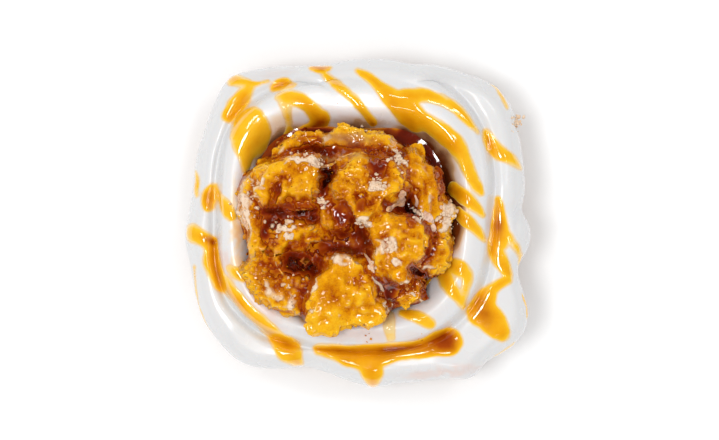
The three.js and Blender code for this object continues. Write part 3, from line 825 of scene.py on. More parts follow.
def icing_shell():
    """The icing as a closed skin of rings, the depth of the caramel's film on it, and how brown it is with
    caramel and painted shade on the hollow's wall. Its underside has neither."""
    angle, along = ring_grid(ICING_AROUND, placed(ICING_PLACES, ICING_RINGS))
    outside = iced_surface(angle, along)
    normals = grid_normals(outside)
    inside = stroke_field(outside, sizes().drizzle_wobble / MM)[0]
    outside = outside + normals * pour_relief(outside, along)[..., None]
    halo = FILM_HALO * smooth(*FILM_HALO_EDGE, inside)
    film = np.maximum(halo, painted(strayed(outside), FILM_SPOTS))
    underside = icing_underside(outside[:, -1], angle[:, :1])
    bare = np.zeros(underside.shape[:2])
    film, caramel_and_shade = (np.concatenate([field, bare], axis=1) for field in (film, wall_caramel_and_shade(outside)))
    return np.concatenate([outside, underside], axis=1), film, caramel_and_shade


# Where the icing is painted pinker and darker, partly for cinnamon showing through thin icing and partly as
# painted shade, as ovals seen from above: (x, y, radius across, radius along, turn in degrees of the first
# radius, strength).
CINNAMON_AND_SHADE_SPOTS = [
    (29, -47.2, 7, 1.2, 8, 0.8),
    (37, -46.6, 3, 0.7, 12, 0.6),
    (-29, -27.6, 10, 3, -48, 0.8),
    (-40.4, -14, 7, 1.8, -68, 0.75),
    (0, -35.6, 13, 2.4, 0, 0.6),
    (20, -36, 8, 2, 6, 0.35),
    (31, 14, 9, 2, -68, 0.4),
    (20.6, -47.4, 7, 1.6, 6, 0.7),
    (-26, 46.4, 6, 1.2, 6, 0.3),
    (22.6, -27.6, 5, 4, 40, 0.15),
]
# Where a film of caramel shows on it, in the same terms but with how deep its colour is.
FILM_SPOTS = [
    (-38.2, 7, 2, 7, 0, 0.13),
    (-37.6, -2.6, 1.8, 6, 0, 0.2),
    (-37.2, -12, 1.8, 6, -14, 0.15),
    (-24, 31.4, 5, 2.6, 36, 0.12),
]


# Where the hollow's icing is less lit: direction and width in degrees, and the share of light that goes.
HOLLOW_DIMS = [(306, 26, 0.8), (226, 24, 0.8)]
HOLLOW_LIT = (-5, 4)  # mm past the well's rim where that light begins to fade, and is gone
CINNAMON_AND_SHADE_Z = (33, 39)  # the height at which the patches of cinnamon and painted shade begin to show, and are full
NEAR_CINNAMON_AND_SHADE = 0.12  # how much cinnamon and painted shade show all round the heap, and the reach where they fade
NEAR_CINNAMON_AND_SHADE_REACH = (29.5, 35)


def cinnamon_and_shade_field(points):
    """Where cinnamon shows through the icing and painted shade darkens it: unevenly all round the heap, and
    in patches on the top.
    """
    uneven = 0.75 + 0.5 * noise(points, 8, 61)
    near_heap = NEAR_CINNAMON_AND_SHADE * (1 - smooth(*NEAR_CINNAMON_AND_SHADE_REACH, coil_reach(points))) * uneven
    # Patches of cinnamon and of painted shade on the top.
    bare = painted(strayed(points), CINNAMON_AND_SHADE_SPOTS) * smooth(*CINNAMON_AND_SHADE_Z, points[..., 2])
    return np.clip(near_heap + bare, 0, 1)


def hollow_light(points):
    """How much the icing of the hollow is lit by the icing round it."""
    turn, reach = coil_place(points[..., 0], points[..., 1])
    lit = 1 - smooth(*HOLLOW_LIT, reach - WELL_RIM)
    for at, wide, dimmed in HOLLOW_DIMS:
        lit = lit * (1 - dimmed * bump(np.radians(turn), at, wide))
    return lit


class AddIcing(RollPieceOperator, bpy.types.Operator):
    """Pour the white icing over the roll"""

    bl_idname = "roll.add_icing"
    bl_label = "Icing"

    def execute(self, context):
        points, film, caramel_and_shade = icing_shell()
        spots, faces = closed_rings(points, (*AXIS, WELL_Z), (0, 0, ICING_FLOOR_Z))
        fields = {
            "cinnamon_and_shade": (cinnamon_and_shade_field(points), 0),
            "caramel": (film, 0),
            "caramel_and_shade": (caramel_and_shade, 1),
            "hollow": (hollow_light(points), 1),
        }
        layers = {name: np.append(field, [at_top, 0]) for name, (field, at_top) in fields.items()}
        finish = material("Poured icing", icing_finish)
        piece = add_mesh("icing_poured", spots, faces, finish, layers)
        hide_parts("icing")
        return {"FINISHED"}


# The drizzle's grid, in the terms of the icing's.
DRIZZLE_AROUND = 820
DRIZZLE_PLACES = (0.56, 1, 2, 2.7)
DRIZZLE_RINGS = (128, 16, 34)
DRIZZLE_EDGE = 0.9  # mm from the edge of a stroke to most of its height
DRIZZLE_FADE = 1.1  # mm from the edge of a stroke to most of its colour
DRIZZLE_BRIM = -0.35  # mm inside a stroke where its mesh ends, under the icing
DRIZZLE_SUNK = 0.6  # mm that its underside lies under the icing


def drizzle_rise(inside, tone):
    """How far the caramel stands above the icing, in mm: a dome from a stroke's edge, taller where it is
    darker, and outside the edge a slope down into the icing."""
    dome = 1 - np.exp(-np.clip(inside, 0, None) / DRIZZLE_EDGE)
    rise = sizes().drizzle_rise / MM * dome * (0.75 + 0.7 * tone)
    return np.where(inside > 0, rise, np.maximum(0.5 * inside, -0.3))


class AddDrizzle(RollPieceOperator, bpy.types.Operator):
    """Drizzle caramel over the icing"""

    bl_idname = "roll.add_drizzle"
    bl_label = "Caramel Drizzle"

    def execute(self, context):
        angle, along = ring_grid(DRIZZLE_AROUND, placed(DRIZZLE_PLACES, DRIZZLE_RINGS))
        surface = iced_surface(angle, along)
        normals = grid_normals(surface)
        inside, tone = stroke_field(surface, sizes().drizzle_wobble / MM)
        surface = surface + normals * pour_relief(surface, along)[..., None]
        raised = surface + normals * drizzle_rise(inside, tone)[..., None]
        sunk = surface - normals * DRIZZLE_SUNK
        kept = whole_cells(inside > DRIZZLE_BRIM, True)
        spots, faces, numbers = closed_patch(raised, sunk, kept, True)
        thick = 1 - np.exp(-np.clip(inside, 0, None) / DRIZZLE_FADE)
        depth = tone * (0.05 + 0.95 * thick) + 0.07 * thick * noise(surface, 5, 71)
        layers = {"depth": np.clip(depth, 0.02, 0.9).ravel()[numbers]}
        piece = add_mesh("caramel_drizzle", spots, faces, caramel_material(), layers)
        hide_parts("icing")
        return {"FINISHED"}


DOUGH_AROUND = 420
DOUGH_RINGS = 44
DOUGH_GATHER = 1.3  # the power that gathers the rings at the foot
DOUGH_COVER_Z = WELL_Z - 3  # the height of the dough's top under the hollow, in mm
DOUGH_TOP_DOWN = 6  # mm that its top lies under the icing's edge
TOP_RINGS = np.array([0.3, 0.8])  # where the rings of its top and its base lie, as shares of the radius
BASE_RINGS = np.array([0.95, 0.5])


class AddDough(RollPieceOperator, bpy.types.Operator):
    """Bake the coiled dough under the icing"""

    bl_idname = "roll.add_dough"
    bl_label = "Baked Dough"

    def execute(self, context):
        angle, share = ring_grid(DOUGH_AROUND, np.linspace(0, 1, DOUGH_RINGS))
        shoulder = outline_radius(angle) - SHOULDER_WIDE
        edge = top_height(shoulder * np.cos(angle), shoulder * np.sin(angle))
        bulge = edge - SHOULDER_TALL
        z = (bulge - 1) * (1 - share) ** DOUGH_GATHER
        low = (1 - z / FOOT_ROUND).clip(0, 1)
        foot = FOOT_ROUND * 0.7 * (1 - np.sqrt(np.clip(1 - low**2, 0, 1)))
        radius = shoulder + wall_out(z, bulge) - ICING_SIDE - foot
        wall = polar(angle, radius, z)
        normals = grid_normals(wall)
        fine = noises(wall, (0.22, 2.2, 82), (0.11, 1.1, 83), (0.055, 0.55, 84))
        skin = 0.3 * noise(wall, 7, 81) + fine * smooth(0, 3, z)
        wall = wall + normals * (skin * smooth(0, 2, z))[..., None]
        top = polar(angle[:, :1], radius[:, :1] * TOP_RINGS, edge[:, :1] - DOUGH_TOP_DOWN)
        top[..., 2] = np.minimum(top[..., 2], np.array([DOUGH_COVER_Z, WELL_Z]))
        flat = polar(angle[:, :1], radius[:, -1:] * BASE_RINGS, 0)
        points = np.concatenate([top, wall, flat], axis=1)
        spots, faces = closed_rings(points, (*AXIS, DOUGH_COVER_Z), (0, 0, 0))
        piece = add_mesh("dough_baked", spots, faces, material("Baked dough", dough_finish))
        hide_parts("dough_roll")
        return {"FINISHED"}


# The broken cookie, from the bottom of the heap up, in mm and degrees: middle, lowest and highest point,
# the tip of its top, then the directions and distances of its broken sides, or half sizes and a turn from
# which uneven sides are drawn by its seed. Dry is how bare of glaze it is.
COOKIES = [
    dict(x=-6, y=-2, low=43, high=59, tip=(0.1, -0.1), long=15.5, wide=11.5, yaw=20, seed=3, dry=0.3),
    dict(x=-25, y=-18, low=43, high=57, tip=(-0.15, -0.2), long=12.5, wide=8.5, yaw=-38, seed=8, dry=0.6),
    dict(x=-31.8, y=2, low=43, high=58, tip=(-0.25, 0), long=13.5, wide=4.8, yaw=96, seed=12, dry=0.8),
    dict(x=-18, y=22.2, low=43, high=56, tip=(0, 0.2), long=9.2, wide=4.8, yaw=24, seed=5, dry=0.4),
    dict(x=1.5, y=22.6, low=43, high=56.5, tip=(0.1, 0.15), long=14, wide=5.2, yaw=-5, seed=9, dry=0.3),
    dict(x=19.2, y=11, low=43, high=59.5, tip=(0.2, 0.1), long=13.6, wide=5.8, yaw=-66, seed=14, dry=0.25),
    dict(x=23.4, y=-9.4, low=43, high=56, tip=(0.2, -0.2), long=7.6, wide=4.8, yaw=62, seed=6, dry=0.35),
    dict(x=25.6, y=1.6, low=43, high=55.5, tip=(0.3, 0), long=6.6, wide=4, yaw=100, seed=21, dry=1),
    dict(x=13.8, y=-21.2, low=43, high=53.5, tip=(0.1, -0.1), long=7.6, wide=5.2, yaw=-8, seed=17, dry=0.5),
    dict(x=-20, y=-4.4, low=47, high=62, tip=(0, -0.2), long=9.4, wide=6, yaw=10, seed=11, dry=0.25),
    dict(x=-7.6, y=3.6, low=47, high=63, tip=(0, 0.1), long=6.6, wide=7.4, yaw=30, seed=19, dry=0.35),
    dict(
        x=-20.5, y=12, low=48, high=66, tip=(-0.12, 0.08), seed=4, dry=0.12,
        sides=[(0, 9.4), (97, 7.4), (150, 10.4), (182, 10.8), (225, 10), (-90, 8), (-45, 10)],
    ),
    dict(
        x=4, y=11, low=48, high=67.5, tip=(0.1, 0.08), seed=2, dry=0.3,
        sides=[(35, 10.9), (90, 10), (165, 11.8), (229, 8), (-52, 8), (0, 11.4)],
    ),
    dict(
        x=13, y=-8.5, low=48, high=66, tip=(0.14, -0.12), seed=7, dry=0.3,
        sides=[
            (180, 9.2), (130, 10), (90, 9.8), (48, 10.2),
            (10, 10.2), (-35, 6.8), (-100, 10.4), (-140, 9.6),
        ],
    ),
    dict(
        x=-3, y=-22, low=48, high=64.5, tip=(0.05, -0.2), seed=10, dry=0.03,
        sides=[(180, 11.6), (-84, 9.8), (-40, 13.6), (20, 8.8), (60, 10), (100, 12), (140, 12.2)],
    ),
]
COOKIE_SIDES = 9
SIDE_LEAN = (-0.1, 0.4)  # how little a broken side leans, and how much more some do
SIDE_STRAY = 0.7  # how far a drawn side turns from its even place, as a share of the step between sides
SIDE_REACH = (0.88, 0.2)  # the least share of its oval that a drawn side has, and how much more some have
COOKIE_SHARPNESS = 17
CRAG = 0.07
LARGE_COOKIE = 7  # mm of half size over which a piece has the full grid, and the share for others
SMALL_GRID = 0.7
OUT_SHARE = 0.6  # how far roughness stands out along the broken face, the rest along the ray
GLAZED_TOP = (0.4, 0.9)  # the share of the top in a point where the calm of the glaze begins, and is full

# Ovals on the heap as seen from above, in mm: (x, y, radius across, radius along, turn in degrees of the
# first radius, strength). First where it rises or sinks, in mm.
HEAP_RELIEF = [
    (6.6, 17.2, 3.4, 2.8, -60, -3.4),
    (12.7, 19, 4, 1.1, -52, 1.5),
    (6.2, 11, 2.6, 2, -20, 0.8),
    (4.5, 4.2, 6.5, 3, -30, -1.8),
    (-15, 18.8, 5.5, 1.2, 2, 1.2),
    (-18.2, 4.4, 6.5, 2.8, 4, -2.6),
    (-21.6, 8.6, 2.2, 1.9, 40, 1.6),
    (-24.9, 8.6, 4.6, 1.4, 68, -2.8),
    (-15.6, 2.6, 3.6, 2.6, 0, -2),
    (-19.7, -4, 8, 2.2, 23, 1.8),
    (-17.9, -12.8, 8, 3.8, 8, -5),
    (9.8, -7, 2.8, 2.6, 0, 0.9),
    (12.6, -3.2, 2, 1.8, 0, 0.9),
    (15.8, -10.2, 3, 2.4, 30, 0.8),
    (18.4, -16, 3.4, 1.6, -35, -6),
    (21, -20, 1.2, 3.2, 0, -5),
    (7.8, -21.2, 1.2, 3.6, 25, -4.5),
    (-27.4, 0.6, 7.4, 2.2, 84, -3.2),
    (-9.4, 14, 4.6, 1.7, 80, -5),
    (-12, 21.8, 7.2, 1.5, 4, -4),
    (15.6, 4.2, 4.2, 2.6, 70, -3.4),
    (1.5, -5.4, 4, 3, -60, -3),
    (-5, -1.6, 7, 3.2, -70, -2.2),
    (-6, -7.2, 9, 2, 0, -2.4),
    (-10.6, 6.6, 1.8, 1.5, 0, 1),
]
# Then where it shows pale bare crumb.
PALE_SPOTS = [
    (-16.4, 18.8, 5.8, 1.1, 3, 1.3),
    (-12.8, 18.2, 2.4, 1.7, 0, 1.2),
    (12.7, 19.2, 4.4, 1.2, -55, 1.6),
    (6.1, 11, 3, 2.2, -20, 1.3),
    (1.4, 0, 2, 1.4, 0, 1.3),
    (9.2, -7.8, 4.2, 3.8, 0, 0.95),
    (11.4, -12.7, 1.3, 1, 0, 0.95),
    (4.2, -13.4, 0.9, 1.9, 0, 1.2),
    (-4.4, -11.4, 5, 2.2, -10, 0.85),
    (-12.7, -26.9, 1.5, 1, 0, 0.9),
    (-5.8, -28, 1.9, 1.9, 0, 0.6),
    (6.4, -20.2, 3.6, 0.8, -66, 1.4),
    (9, -26.4, 3.4, 0.9, -72, 1.4),
    (-34.6, 3.4, 1.9, 8, 4, 1.1),
    (-31.9, 11, 3.2, 2.2, 40, 0.8),
    (-22.6, -1.7, 3.8, 1.2, 4, 1.3),
    (-11.1, 6.2, 2, 1.1, -20, 1.2),
    (-23.6, -23, 7.5, 4, -32, 0.8),
    (-13.6, -18.6, 1.4, 3, 10, 0.8),
    (14.2, -18.8, 1, 0.8, 0, 1.1),
    (16.1, -22.4, 0.8, 0.7, 0, 1.1),
    (19.7, -24.5, 0.9, 1, 0, 1.3),
    (21.9, -13.8, 2, 1.8, 0, 0.9),
    (27, 1.4, 1.7, 5.6, -8, 1.4),
    (18.4, 1.8, 2, 1.5, 0, 1.2),
    (22.8, 7.2, 2, 3, 10, 0.7),
    (-8.9, 26.3, 2, 1, 0, 0.8),
    (10.6, 24.2, 2.2, 2.8, 0, 0.5),
    (-23.6, 22, 2.3, 1.4, 0, 0.65),
]
# Then where caramel has pooled.
CARAMEL_SPOTS = [
    (-27.3, 0.4, 7.6, 2.8, 86, 1.15),
    (-24.8, 8.8, 4.6, 1.1, 66, 0.9),
    (-21.9, 3.6, 4.6, 2.4, 0, 1),
    (-15.7, 2.7, 4, 2.8, 0, 1.25),
    (-4.6, 0, 3.2, 7, 8, 1.15),
    (-6, -7.3, 10, 2.3, 0, 1.1),
    (0.8, -5.4, 4.4, 3.8, 0, 1.15),
    (0.6, 5, 1.6, 4, -20, 0.8),
    (-17.9, -13, 8.6, 4, 8, 1.3),
    (-9.6, 13.8, 5, 1.9, 80, 1.3),
    (-11.9, 21.7, 7.6, 1.8, 4, 1.15),
    (-15.3, 25.4, 3.8, 1.8, 25, 0.85),
    (6.8, 17.4, 3, 3.8, -20, 1.2),
    (14.4, 21.6, 1.6, 3.6, 40, 0.8),
    (15.6, 4.4, 2.8, 4.6, 0, 1.3),
    (9.6, 4.2, 5, 1.2, -32, 0.7),
    (21.9, -8.8, 2, 4.2, -40, 0.4),
    (18.4, -16, 3.8, 1.9, -35, 1.5),
    (21, -20, 1.4, 3.6, 0, 1.4),
    (10, -21.4, 3, 3.2, 0, 1.1),
    (-22, 13.5, 3, 1, 60, 0.4),
    (25.4, 13.4, 1.8, 5.4, 14, 1.1),
]
# And where a sheer tan film hangs over it.
MILK_SPOTS = [
    (-2.7, 26.3, 8, 2, -3, 0.75),
    (-8.6, 19, 3.8, 1.1, 22, 0.9),
    (-2, 20.6, 3.4, 1.3, 0, 0.7),
]
STRAY_WIDE = 1.1  # mm that an oval's edge strays by, over a few mm and over about one
STRAY_FINE = 0.8


def strayed(points):
    """Points pushed about on the plane by two sizes of noise, so that ovals painted there are ragged."""
    flat = spread(points)
    push = [noises(flat, (STRAY_WIDE, 3.4, 140 + axis), (STRAY_FINE, 1.4, 150 + axis)) for axis in (0, 1)]
    return points[..., :2] + np.stack(push, axis=-1)


def painted(points, spots, join_with=np.maximum):
    """Oval bells as seen from above, each falling as exp(-r^3) of the distance scaled by its two radii."""
    total = np.zeros(points.shape[:-1])
    for x, y, across, along, turn, strength in spots:
        way = np.radians(turn)
        dx = points[..., 0] - x
        dy = points[..., 1] - y
        u = (dx * np.cos(way) + dy * np.sin(way)) / across
        v = (dy * np.cos(way) - dx * np.sin(way)) / along
        total = join_with(total, strength * np.exp(-((u * u + v * v) ** 1.5)))
    return total


def seeded(seed):
    """Numbers from 0 to 1 by a linear congruence, the same for a seed each time."""
    state = seed * 9301 + 49297
    while True:
        state = (state * 1664525 + 1013904223) % 4294967296
        yield state / 4294967296


def broken_faces(cookie):
    """The flat breaks of a piece: outward directions, and distances from its middle in mm."""
    random = seeded(cookie["seed"])
    half = (cookie["high"] - cookie["low"]) / 2
    normals = [(*cookie["tip"], 1), (0, 0, -1)]
    distances = [half, half]
    sides = cookie.get("sides") or list(drawn_sides(cookie, random))
    for turn, distance in sides:
        rise = SIDE_LEAN[0] + SIDE_LEAN[1] * next(random)
        normals.append((np.cos(np.radians(turn)), np.sin(np.radians(turn)), rise))
        distances.append(distance)
    return unit(np.array(normals, float)), np.array(distances, float)


def drawn_sides(cookie, random):
    """Uneven sides round an oval, for a piece that states none."""
    for i in range(COOKIE_SIDES):
        turn = 360 * (i + SIDE_STRAY * (next(random) - 0.5)) / COOKIE_SIDES
        way = np.radians(turn - cookie["yaw"])
        reach = np.hypot(cookie["long"] * np.cos(way), cookie["wide"] * np.sin(way))
        yield turn, reach * (SIDE_REACH[0] + SIDE_REACH[1] * next(random))


def cube_ball(side):
    """Directions and faces of a ball: six square grids, each spot at the tangents of its two angles, pushed
    out to the sphere, with the spots that the squares share joined."""
    i, j = np.meshgrid(np.arange(side + 1), np.arange(side + 1), indexing="ij")
    low = np.zeros_like(i)
    high = np.full_like(i, side)
    squares = [(i, j, high), (j, i, low), (high, i, j), (low, j, i), (j, high, i), (i, low, j)]
    lattice = np.concatenate([np.stack(square, axis=-1).reshape(-1, 3) for square in squares])
    corners, numbers = np.unique(lattice, axis=0, return_inverse=True)
    numbers = numbers.reshape(6, side + 1, side + 1)
    a, b = numbers[:, :-1, :-1], numbers[:, 1:, :-1]
    c, d = numbers[:, 1:, 1:], numbers[:, :-1, 1:]
    quads = np.stack([a, b, c, d], axis=-1).reshape(-1, 4)
    directions = unit(np.tan((corners / side * 2 - 1) * np.pi / 4))
    return directions, quads


def point_normals(points, quads):
    """Normals at the points: the sum of the cross products of each face's diagonals."""
    a, b, c, d = (points[quads[:, k]] for k in range(4))
    face = np.cross(c - a, d - b)
    total = np.zeros_like(points)
    for k in range(4):
        for axis in range(3):
            total[:, axis] += np.bincount(quads[:, k], face[:, axis], len(points))
    return unit(total)


def cookie_form(cookie):
    """A piece of cookie in mm. Its smooth form is, in each direction, where a rounded joining of its broken
    faces lies: the 17th root of the sum of 17th powers, with the directions shifted a little by noise so
    that no break is straight. Crags and chips push it in and out, round crumbs stand on the broken faces,
    and a glazed top stays smoother."""
    large = max(cookie.get("long", 12), cookie.get("wide", 12)) > LARGE_COOKIE
    directions, quads = cube_ball(int(sizes().cookie_grid * (1 if large else SMALL_GRID)))
    normals, distances = broken_faces(cookie)
    seed = cookie["seed"]
    ball = directions * distances.mean()
    seeds = [(seed + 200 + axis, seed + 210 + axis) for axis in range(3)]
    shift = [noises(ball, (0.09, 5.5, wide), (0.05, 1.9, fine)) for wide, fine in seeds]
    warped = directions + np.stack(shift, axis=-1)
    facing = np.clip(warped @ (normals / distances[:, None]).T, 0, None) ** COOKIE_SHARPNESS
    total = facing.sum(1)
    x, y, z = directions.T
    crag = np.sin(5 * x + seed) * np.sin(6 * y + 2) * np.sin(5 * z + 1)
    radius = total ** (-1 / COOKIE_SHARPNESS) * (1 + CRAG * crag)
    middle = np.array([cookie["x"], cookie["y"], (cookie["low"] + cookie["high"]) / 2])
    points = middle + directions * radius[:, None]
    weight = facing / total[:, None]
    top = weight[:, 0]
    out = unit(weight @ normals * OUT_SHARE + directions * (1 - OUT_SHARE))
    push = cookie_relief(points, 1 - smooth(*GLAZED_TOP, top), cookie["dry"], seed)
    points = points + out * push[:, None]
    points[:, 2] += painted(strayed(points), HEAP_RELIEF, np.add) * smooth(0, 0.7, out[:, 2])
    return points, quads


FOLD_SHARE = 0.8  # how deep the folds, cracks and chips of a cookie are for its crags
CRACK_SHARE = 0.7
CHIP_SHARE = 1.5
CHIP_EDGE = (0.2, 0.45)  # the noise at which a chip and a pit begin, and are at their full depth
PIT_EDGE = (0.3, 0.55)
PIT_SHARE = 0.9  # how deep pits and how tall fine grains are for its crumbs
GRAIN_SHARE = 0.3


def cookie_relief(points, broken, dry, seed):
    """How far the roughness of a cookie stands out, in mm: crags, folds between them, chips out of the
    edges, small pits, and a bed of crumbs that is full on broken and dry faces and drowned under glaze."""
    crags = sizes().crag_depth / MM
    crumbs = sizes().crumb_depth / MM
    rough = crags * noises(points, (0.85, 6.5, seed), (0.4, 3.1, seed + 40))
    folds = FOLD_SHARE * crags * (0.3 - np.abs(noise(points, 4.2, seed + 60)))
    cracks = CRACK_SHARE * crags * (0.25 - np.abs(noise(points, 2.1, seed + 65)))
    chips = CHIP_SHARE * crags * (0.08 + 0.92 * broken)
    chips = chips * smooth(*CHIP_EDGE, noise(points, 3.6, seed + 20))
    patchy = (0.12 + min(0.4, dry)) * noise(points, 3.4, seed + 70)
    bare = np.clip(broken * 0.8 + dry * 0.6 + patchy, 0.04, 1.1)
    bed = 0.9 * pebbles(points, 1.9, seed) + 0.7 * pebbles(points, 1.0, seed + 5) - 0.9
    pits = PIT_SHARE * smooth(*PIT_EDGE, noise(points, 1.7, seed + 75))
    fine = GRAIN_SHARE * noise(points, 0.7, seed + 80)
    calm = 0.25 + 0.75 * np.clip(broken + dry * 1.4, 0, 1)
    return (rough + folds) * calm + cracks * bare - chips + crumbs * bare * (bed - pits + fine)


@functools.lru_cache(maxsize=1)
def heap_forms():
    """All pieces of the heap, worked out once."""
    return [cookie_form(cookie) for cookie in COOKIES]


# The grid seen from above on which the caramel and the rubble of the heap are worked out, in mm.
HEAP_LOW = np.array([-46.0, -43.0])
HEAP_HIGH = np.array([39.5, 40.0])
HEAP_STEP = 0.27
HEAP_MARGIN = 1.3  # mm that the rubble and the caramel keep from the heap's outer edge
HEAP_FOOT_Z = POOL_Z + 3
PIECE_GAP = 0.55  # mm of the disc that closes the gaps between the points of a piece
FILL_DISC = 4.4  # mm of the disc that doesn't fit into what the rubble fills, and the share that it fills
FILL_SHARE = 0.68
DEEP_POOL = (1.12, 1.3)  # the strength of pooled caramel at which the rubble sinks away, and is gone
RUBBLE_SINK = (1.1, 2.4, 4)  # mm that rubble lies lower: everywhere, where caramel pools, where it is deep
RUBBLE_BLUR = 0.5
CARAMEL_SINK = 0.95  # mm that caramel lies under the blurred heap, and how far it rises where it pools
CARAMEL_RISE = 1.5
CARAMEL_DEEP = 2.5  # mm that it sinks again where it is deep
CARAMEL_BLUR = 0.9
# Kinds of sunken places: mm that the heap's average is taken over, and mm under it that count as full.
SUNKEN = {"hollow": (0.7, 0.35), "dip": (2.2, 1.3), "sink": (5, 4)}


def disc_offsets(radius):
    """The grid offsets within a circle."""
    reach = int(np.ceil(radius / HEAP_STEP))
    i, j = np.mgrid[-reach : reach + 1, -reach : reach + 1]
    near = i * i + j * j <= (radius / HEAP_STEP) ** 2
    return list(zip(i[near], j[near]))


def widened(field, radius):
    """The largest value of a grid within a circle of each cell."""
    reach = int(np.ceil(radius / HEAP_STEP))
    wide = np.pad(field, reach, mode="edge")
    rows, columns = field.shape
    result = field.copy()
    for i, j in disc_offsets(radius):
        result = np.maximum(result, wide[reach + i : reach + i + rows, reach + j : reach + j + columns])
    return result


def closed_up(field, radius):
    """A grid with every hollow filled that a disc of that radius doesn't fit into."""
    return -widened(-widened(field, radius), radius)


def blurred(field, radius):
    """A grid smoothed by three box averages in each direction, close to a bell of that radius."""
    half = max(1, int(round(radius / HEAP_STEP)))
    for _ in range(3):
        for axis in (0, 1):
            pad = [(half + 1, half) if k == axis else (0, 0) for k in (0, 1)]
            run = np.cumsum(np.pad(field, pad, mode="edge"), axis=axis)
            upper = np.take(run, np.arange(2 * half + 1, run.shape[axis]), axis=axis)
            lower = np.take(run, np.arange(0, run.shape[axis] - 2 * half - 1), axis=axis)
            field = (upper - lower) / (2 * half + 1)
    return field


@functools.lru_cache(maxsize=1)
def heap_fields():
    """The heap seen from above, as grids by name. "pieces" is the highest point of the cookies in each
    cell. "rubble" is the glazed crumbs that fill most of what a disc of 4.4 mm doesn't fit into between
    them, and "caramel" a level that follows both smoothly, higher where it has "pooled". "heap" is pieces
    and rubble together, "top" has the caramel too, and "inside" is where it stands well over the sauce. The
    names in SUNKEN are how far the heap lies under its own average, as a share of what counts as full."""
    counts = np.ceil((HEAP_HIGH - HEAP_LOW) / HEAP_STEP).astype(int)
    x, y = (HEAP_LOW[k] + (np.arange(counts[k]) + 0.5) * HEAP_STEP for k in (0, 1))
    x, y = np.meshgrid(x, y, indexing="ij")
    place = np.stack([x, y, 0 * x], axis=-1)
    pieces = np.full(x.shape, float(POOL_Z))
    for points, _ in heap_forms():
        cell = np.floor((points[:, :2] - HEAP_LOW) / HEAP_STEP).astype(int)
        held = ((cell >= 0) & (cell < counts)).all(1)
        np.maximum.at(pieces, (cell[held, 0], cell[held, 1]), points[held, 2])
    pieces = closed_up(pieces, PIECE_GAP)
    filled = closed_up(pieces, FILL_DISC)
    pooled = painted(strayed(place), CARAMEL_SPOTS)
    deep = smooth(*DEEP_POOL, pooled)
    lumps = 1.3 * pebbles(place, 2.6, 121) + 0.9 * pebbles(place, 1.3, 122) - 1.3
    everywhere, with_pool, with_depth = RUBBLE_SINK
    rubble = blurred(pieces + FILL_SHARE * (filled - pieces), RUBBLE_BLUR)
    rubble = rubble - (everywhere + with_pool * pooled + with_depth * deep)
    rubble = rubble + lumps * (1 - 0.6 * np.clip(pooled, 0, 1))
    heap = np.maximum(pieces, rubble)
    caramel = blurred(heap, CARAMEL_BLUR) - CARAMEL_SINK + CARAMEL_RISE * pooled - CARAMEL_DEEP * deep
    caramel = caramel + noises(place, (0.06, 1.6, 123), (0.3, 3.6, 124))
    return {
        "place": place,
        "pieces": pieces,
        "rubble": rubble,
        "heap": heap,
        "pooled": pooled,
        "caramel": caramel,
        "inside": -widened(-filled, HEAP_MARGIN) > HEAP_FOOT_Z,
        "top": np.maximum(heap, caramel),
        **{name: (blurred(heap, wide) - heap) / full for name, (wide, full) in SUNKEN.items()},
    }


def at_cells(field, points):
    """A grid's values at points, each blended from its four nearest cells."""
    place = np.clip((points[:, :2] - HEAP_LOW) / HEAP_STEP - 0.5, 0, np.array(field.shape) - 1.001)
    cell = place.astype(int)
    u, v = (place - cell).T
    i, j = cell.T
    near = field[i, j] * (1 - v) + field[i, j + 1] * v
    far = field[i + 1, j] * (1 - v) + field[i + 1, j + 1] * v
    return near * (1 - u) + far * u


# The glaze of the heap. Depths are those of its colour, from 0 to 1.
DEEPEST_GLAZE = 0.9
THIN_GLAZE = 0.452
BESIDE_CARAMEL = 3.2  # mm round pooled caramel in which the glaze is deeper too
NEAR_CARAMEL = [
    (x, y, across + BESIDE_CARAMEL, along + BESIDE_CARAMEL, turn, strength)
    for x, y, across, along, turn, strength in CARAMEL_SPOTS
]
BARE_CRUMB = (0.46, 1.08)  # the paleness at which the glaze begins to open, and is gone
GLAZE_LIMITS = (0.2, 0.92)
FACES_UP = (0.05, 0.45)  # how far a normal points up where glaze begins to lie, and lies in full
PALE_FACES = (-0.2, 0.2)  # the same for painted paleness, and for the wet shine
SHINY_FACES = (0.15, 0.6)
UNDER_CARAMEL = (-1.6, 0.2)  # mm under the caramel's level where it begins to soak in, and has done so
COVERED = (1.5, 6)  # mm under the piece on top where painted shade begins, and is full
GLAZE_HOLDS = (-0.3, 0.35)  # the sum of causes at which glaze begins to hold, and holds in full
# How much of the way from thin glaze to the deepest each cause goes. In dips and sinks that is partly
# caramel gathering and partly painted shade; under other pieces it is painted shade.
DEEP_POOLED = 0.5
DEEP_BESIDE = 0.42
DEEP_DIP = 0.35
DEEP_SINK = 0.6
SHADE_UNDER_PIECES = 0.55
DEEP_UNDER = 0.1


def heap_causes(points, up, seed):
    """What shapes the glaze at points of the heap: how they face up, what is painted on them, how sunken
    they are, how far under caramel and under other pieces, and two sizes of noise."""
    fields = heap_fields()
    place = strayed(points)
    facing = smooth(*FACES_UP, up)
    return SimpleNamespace(
        facing=facing,
        pale=painted(place, PALE_SPOTS) * smooth(*PALE_FACES, up),
        pooled=painted(place, CARAMEL_SPOTS),
        beside=painted(place, NEAR_CARAMEL),
        milk=painted(place, MILK_SPOTS),
        under=smooth(*UNDER_CARAMEL, at_cells(fields["caramel"], points) - points[:, 2]),
        covered=smooth(*COVERED, at_cells(fields["pieces"], points) - points[:, 2]),
        patch=noise(points, 4.4, seed + 90),
        grain=noise(points, 1.3, seed + 91),
        **{name: np.clip(at_cells(fields[name], points), -1, 1) * facing for name in SUNKEN},
    )


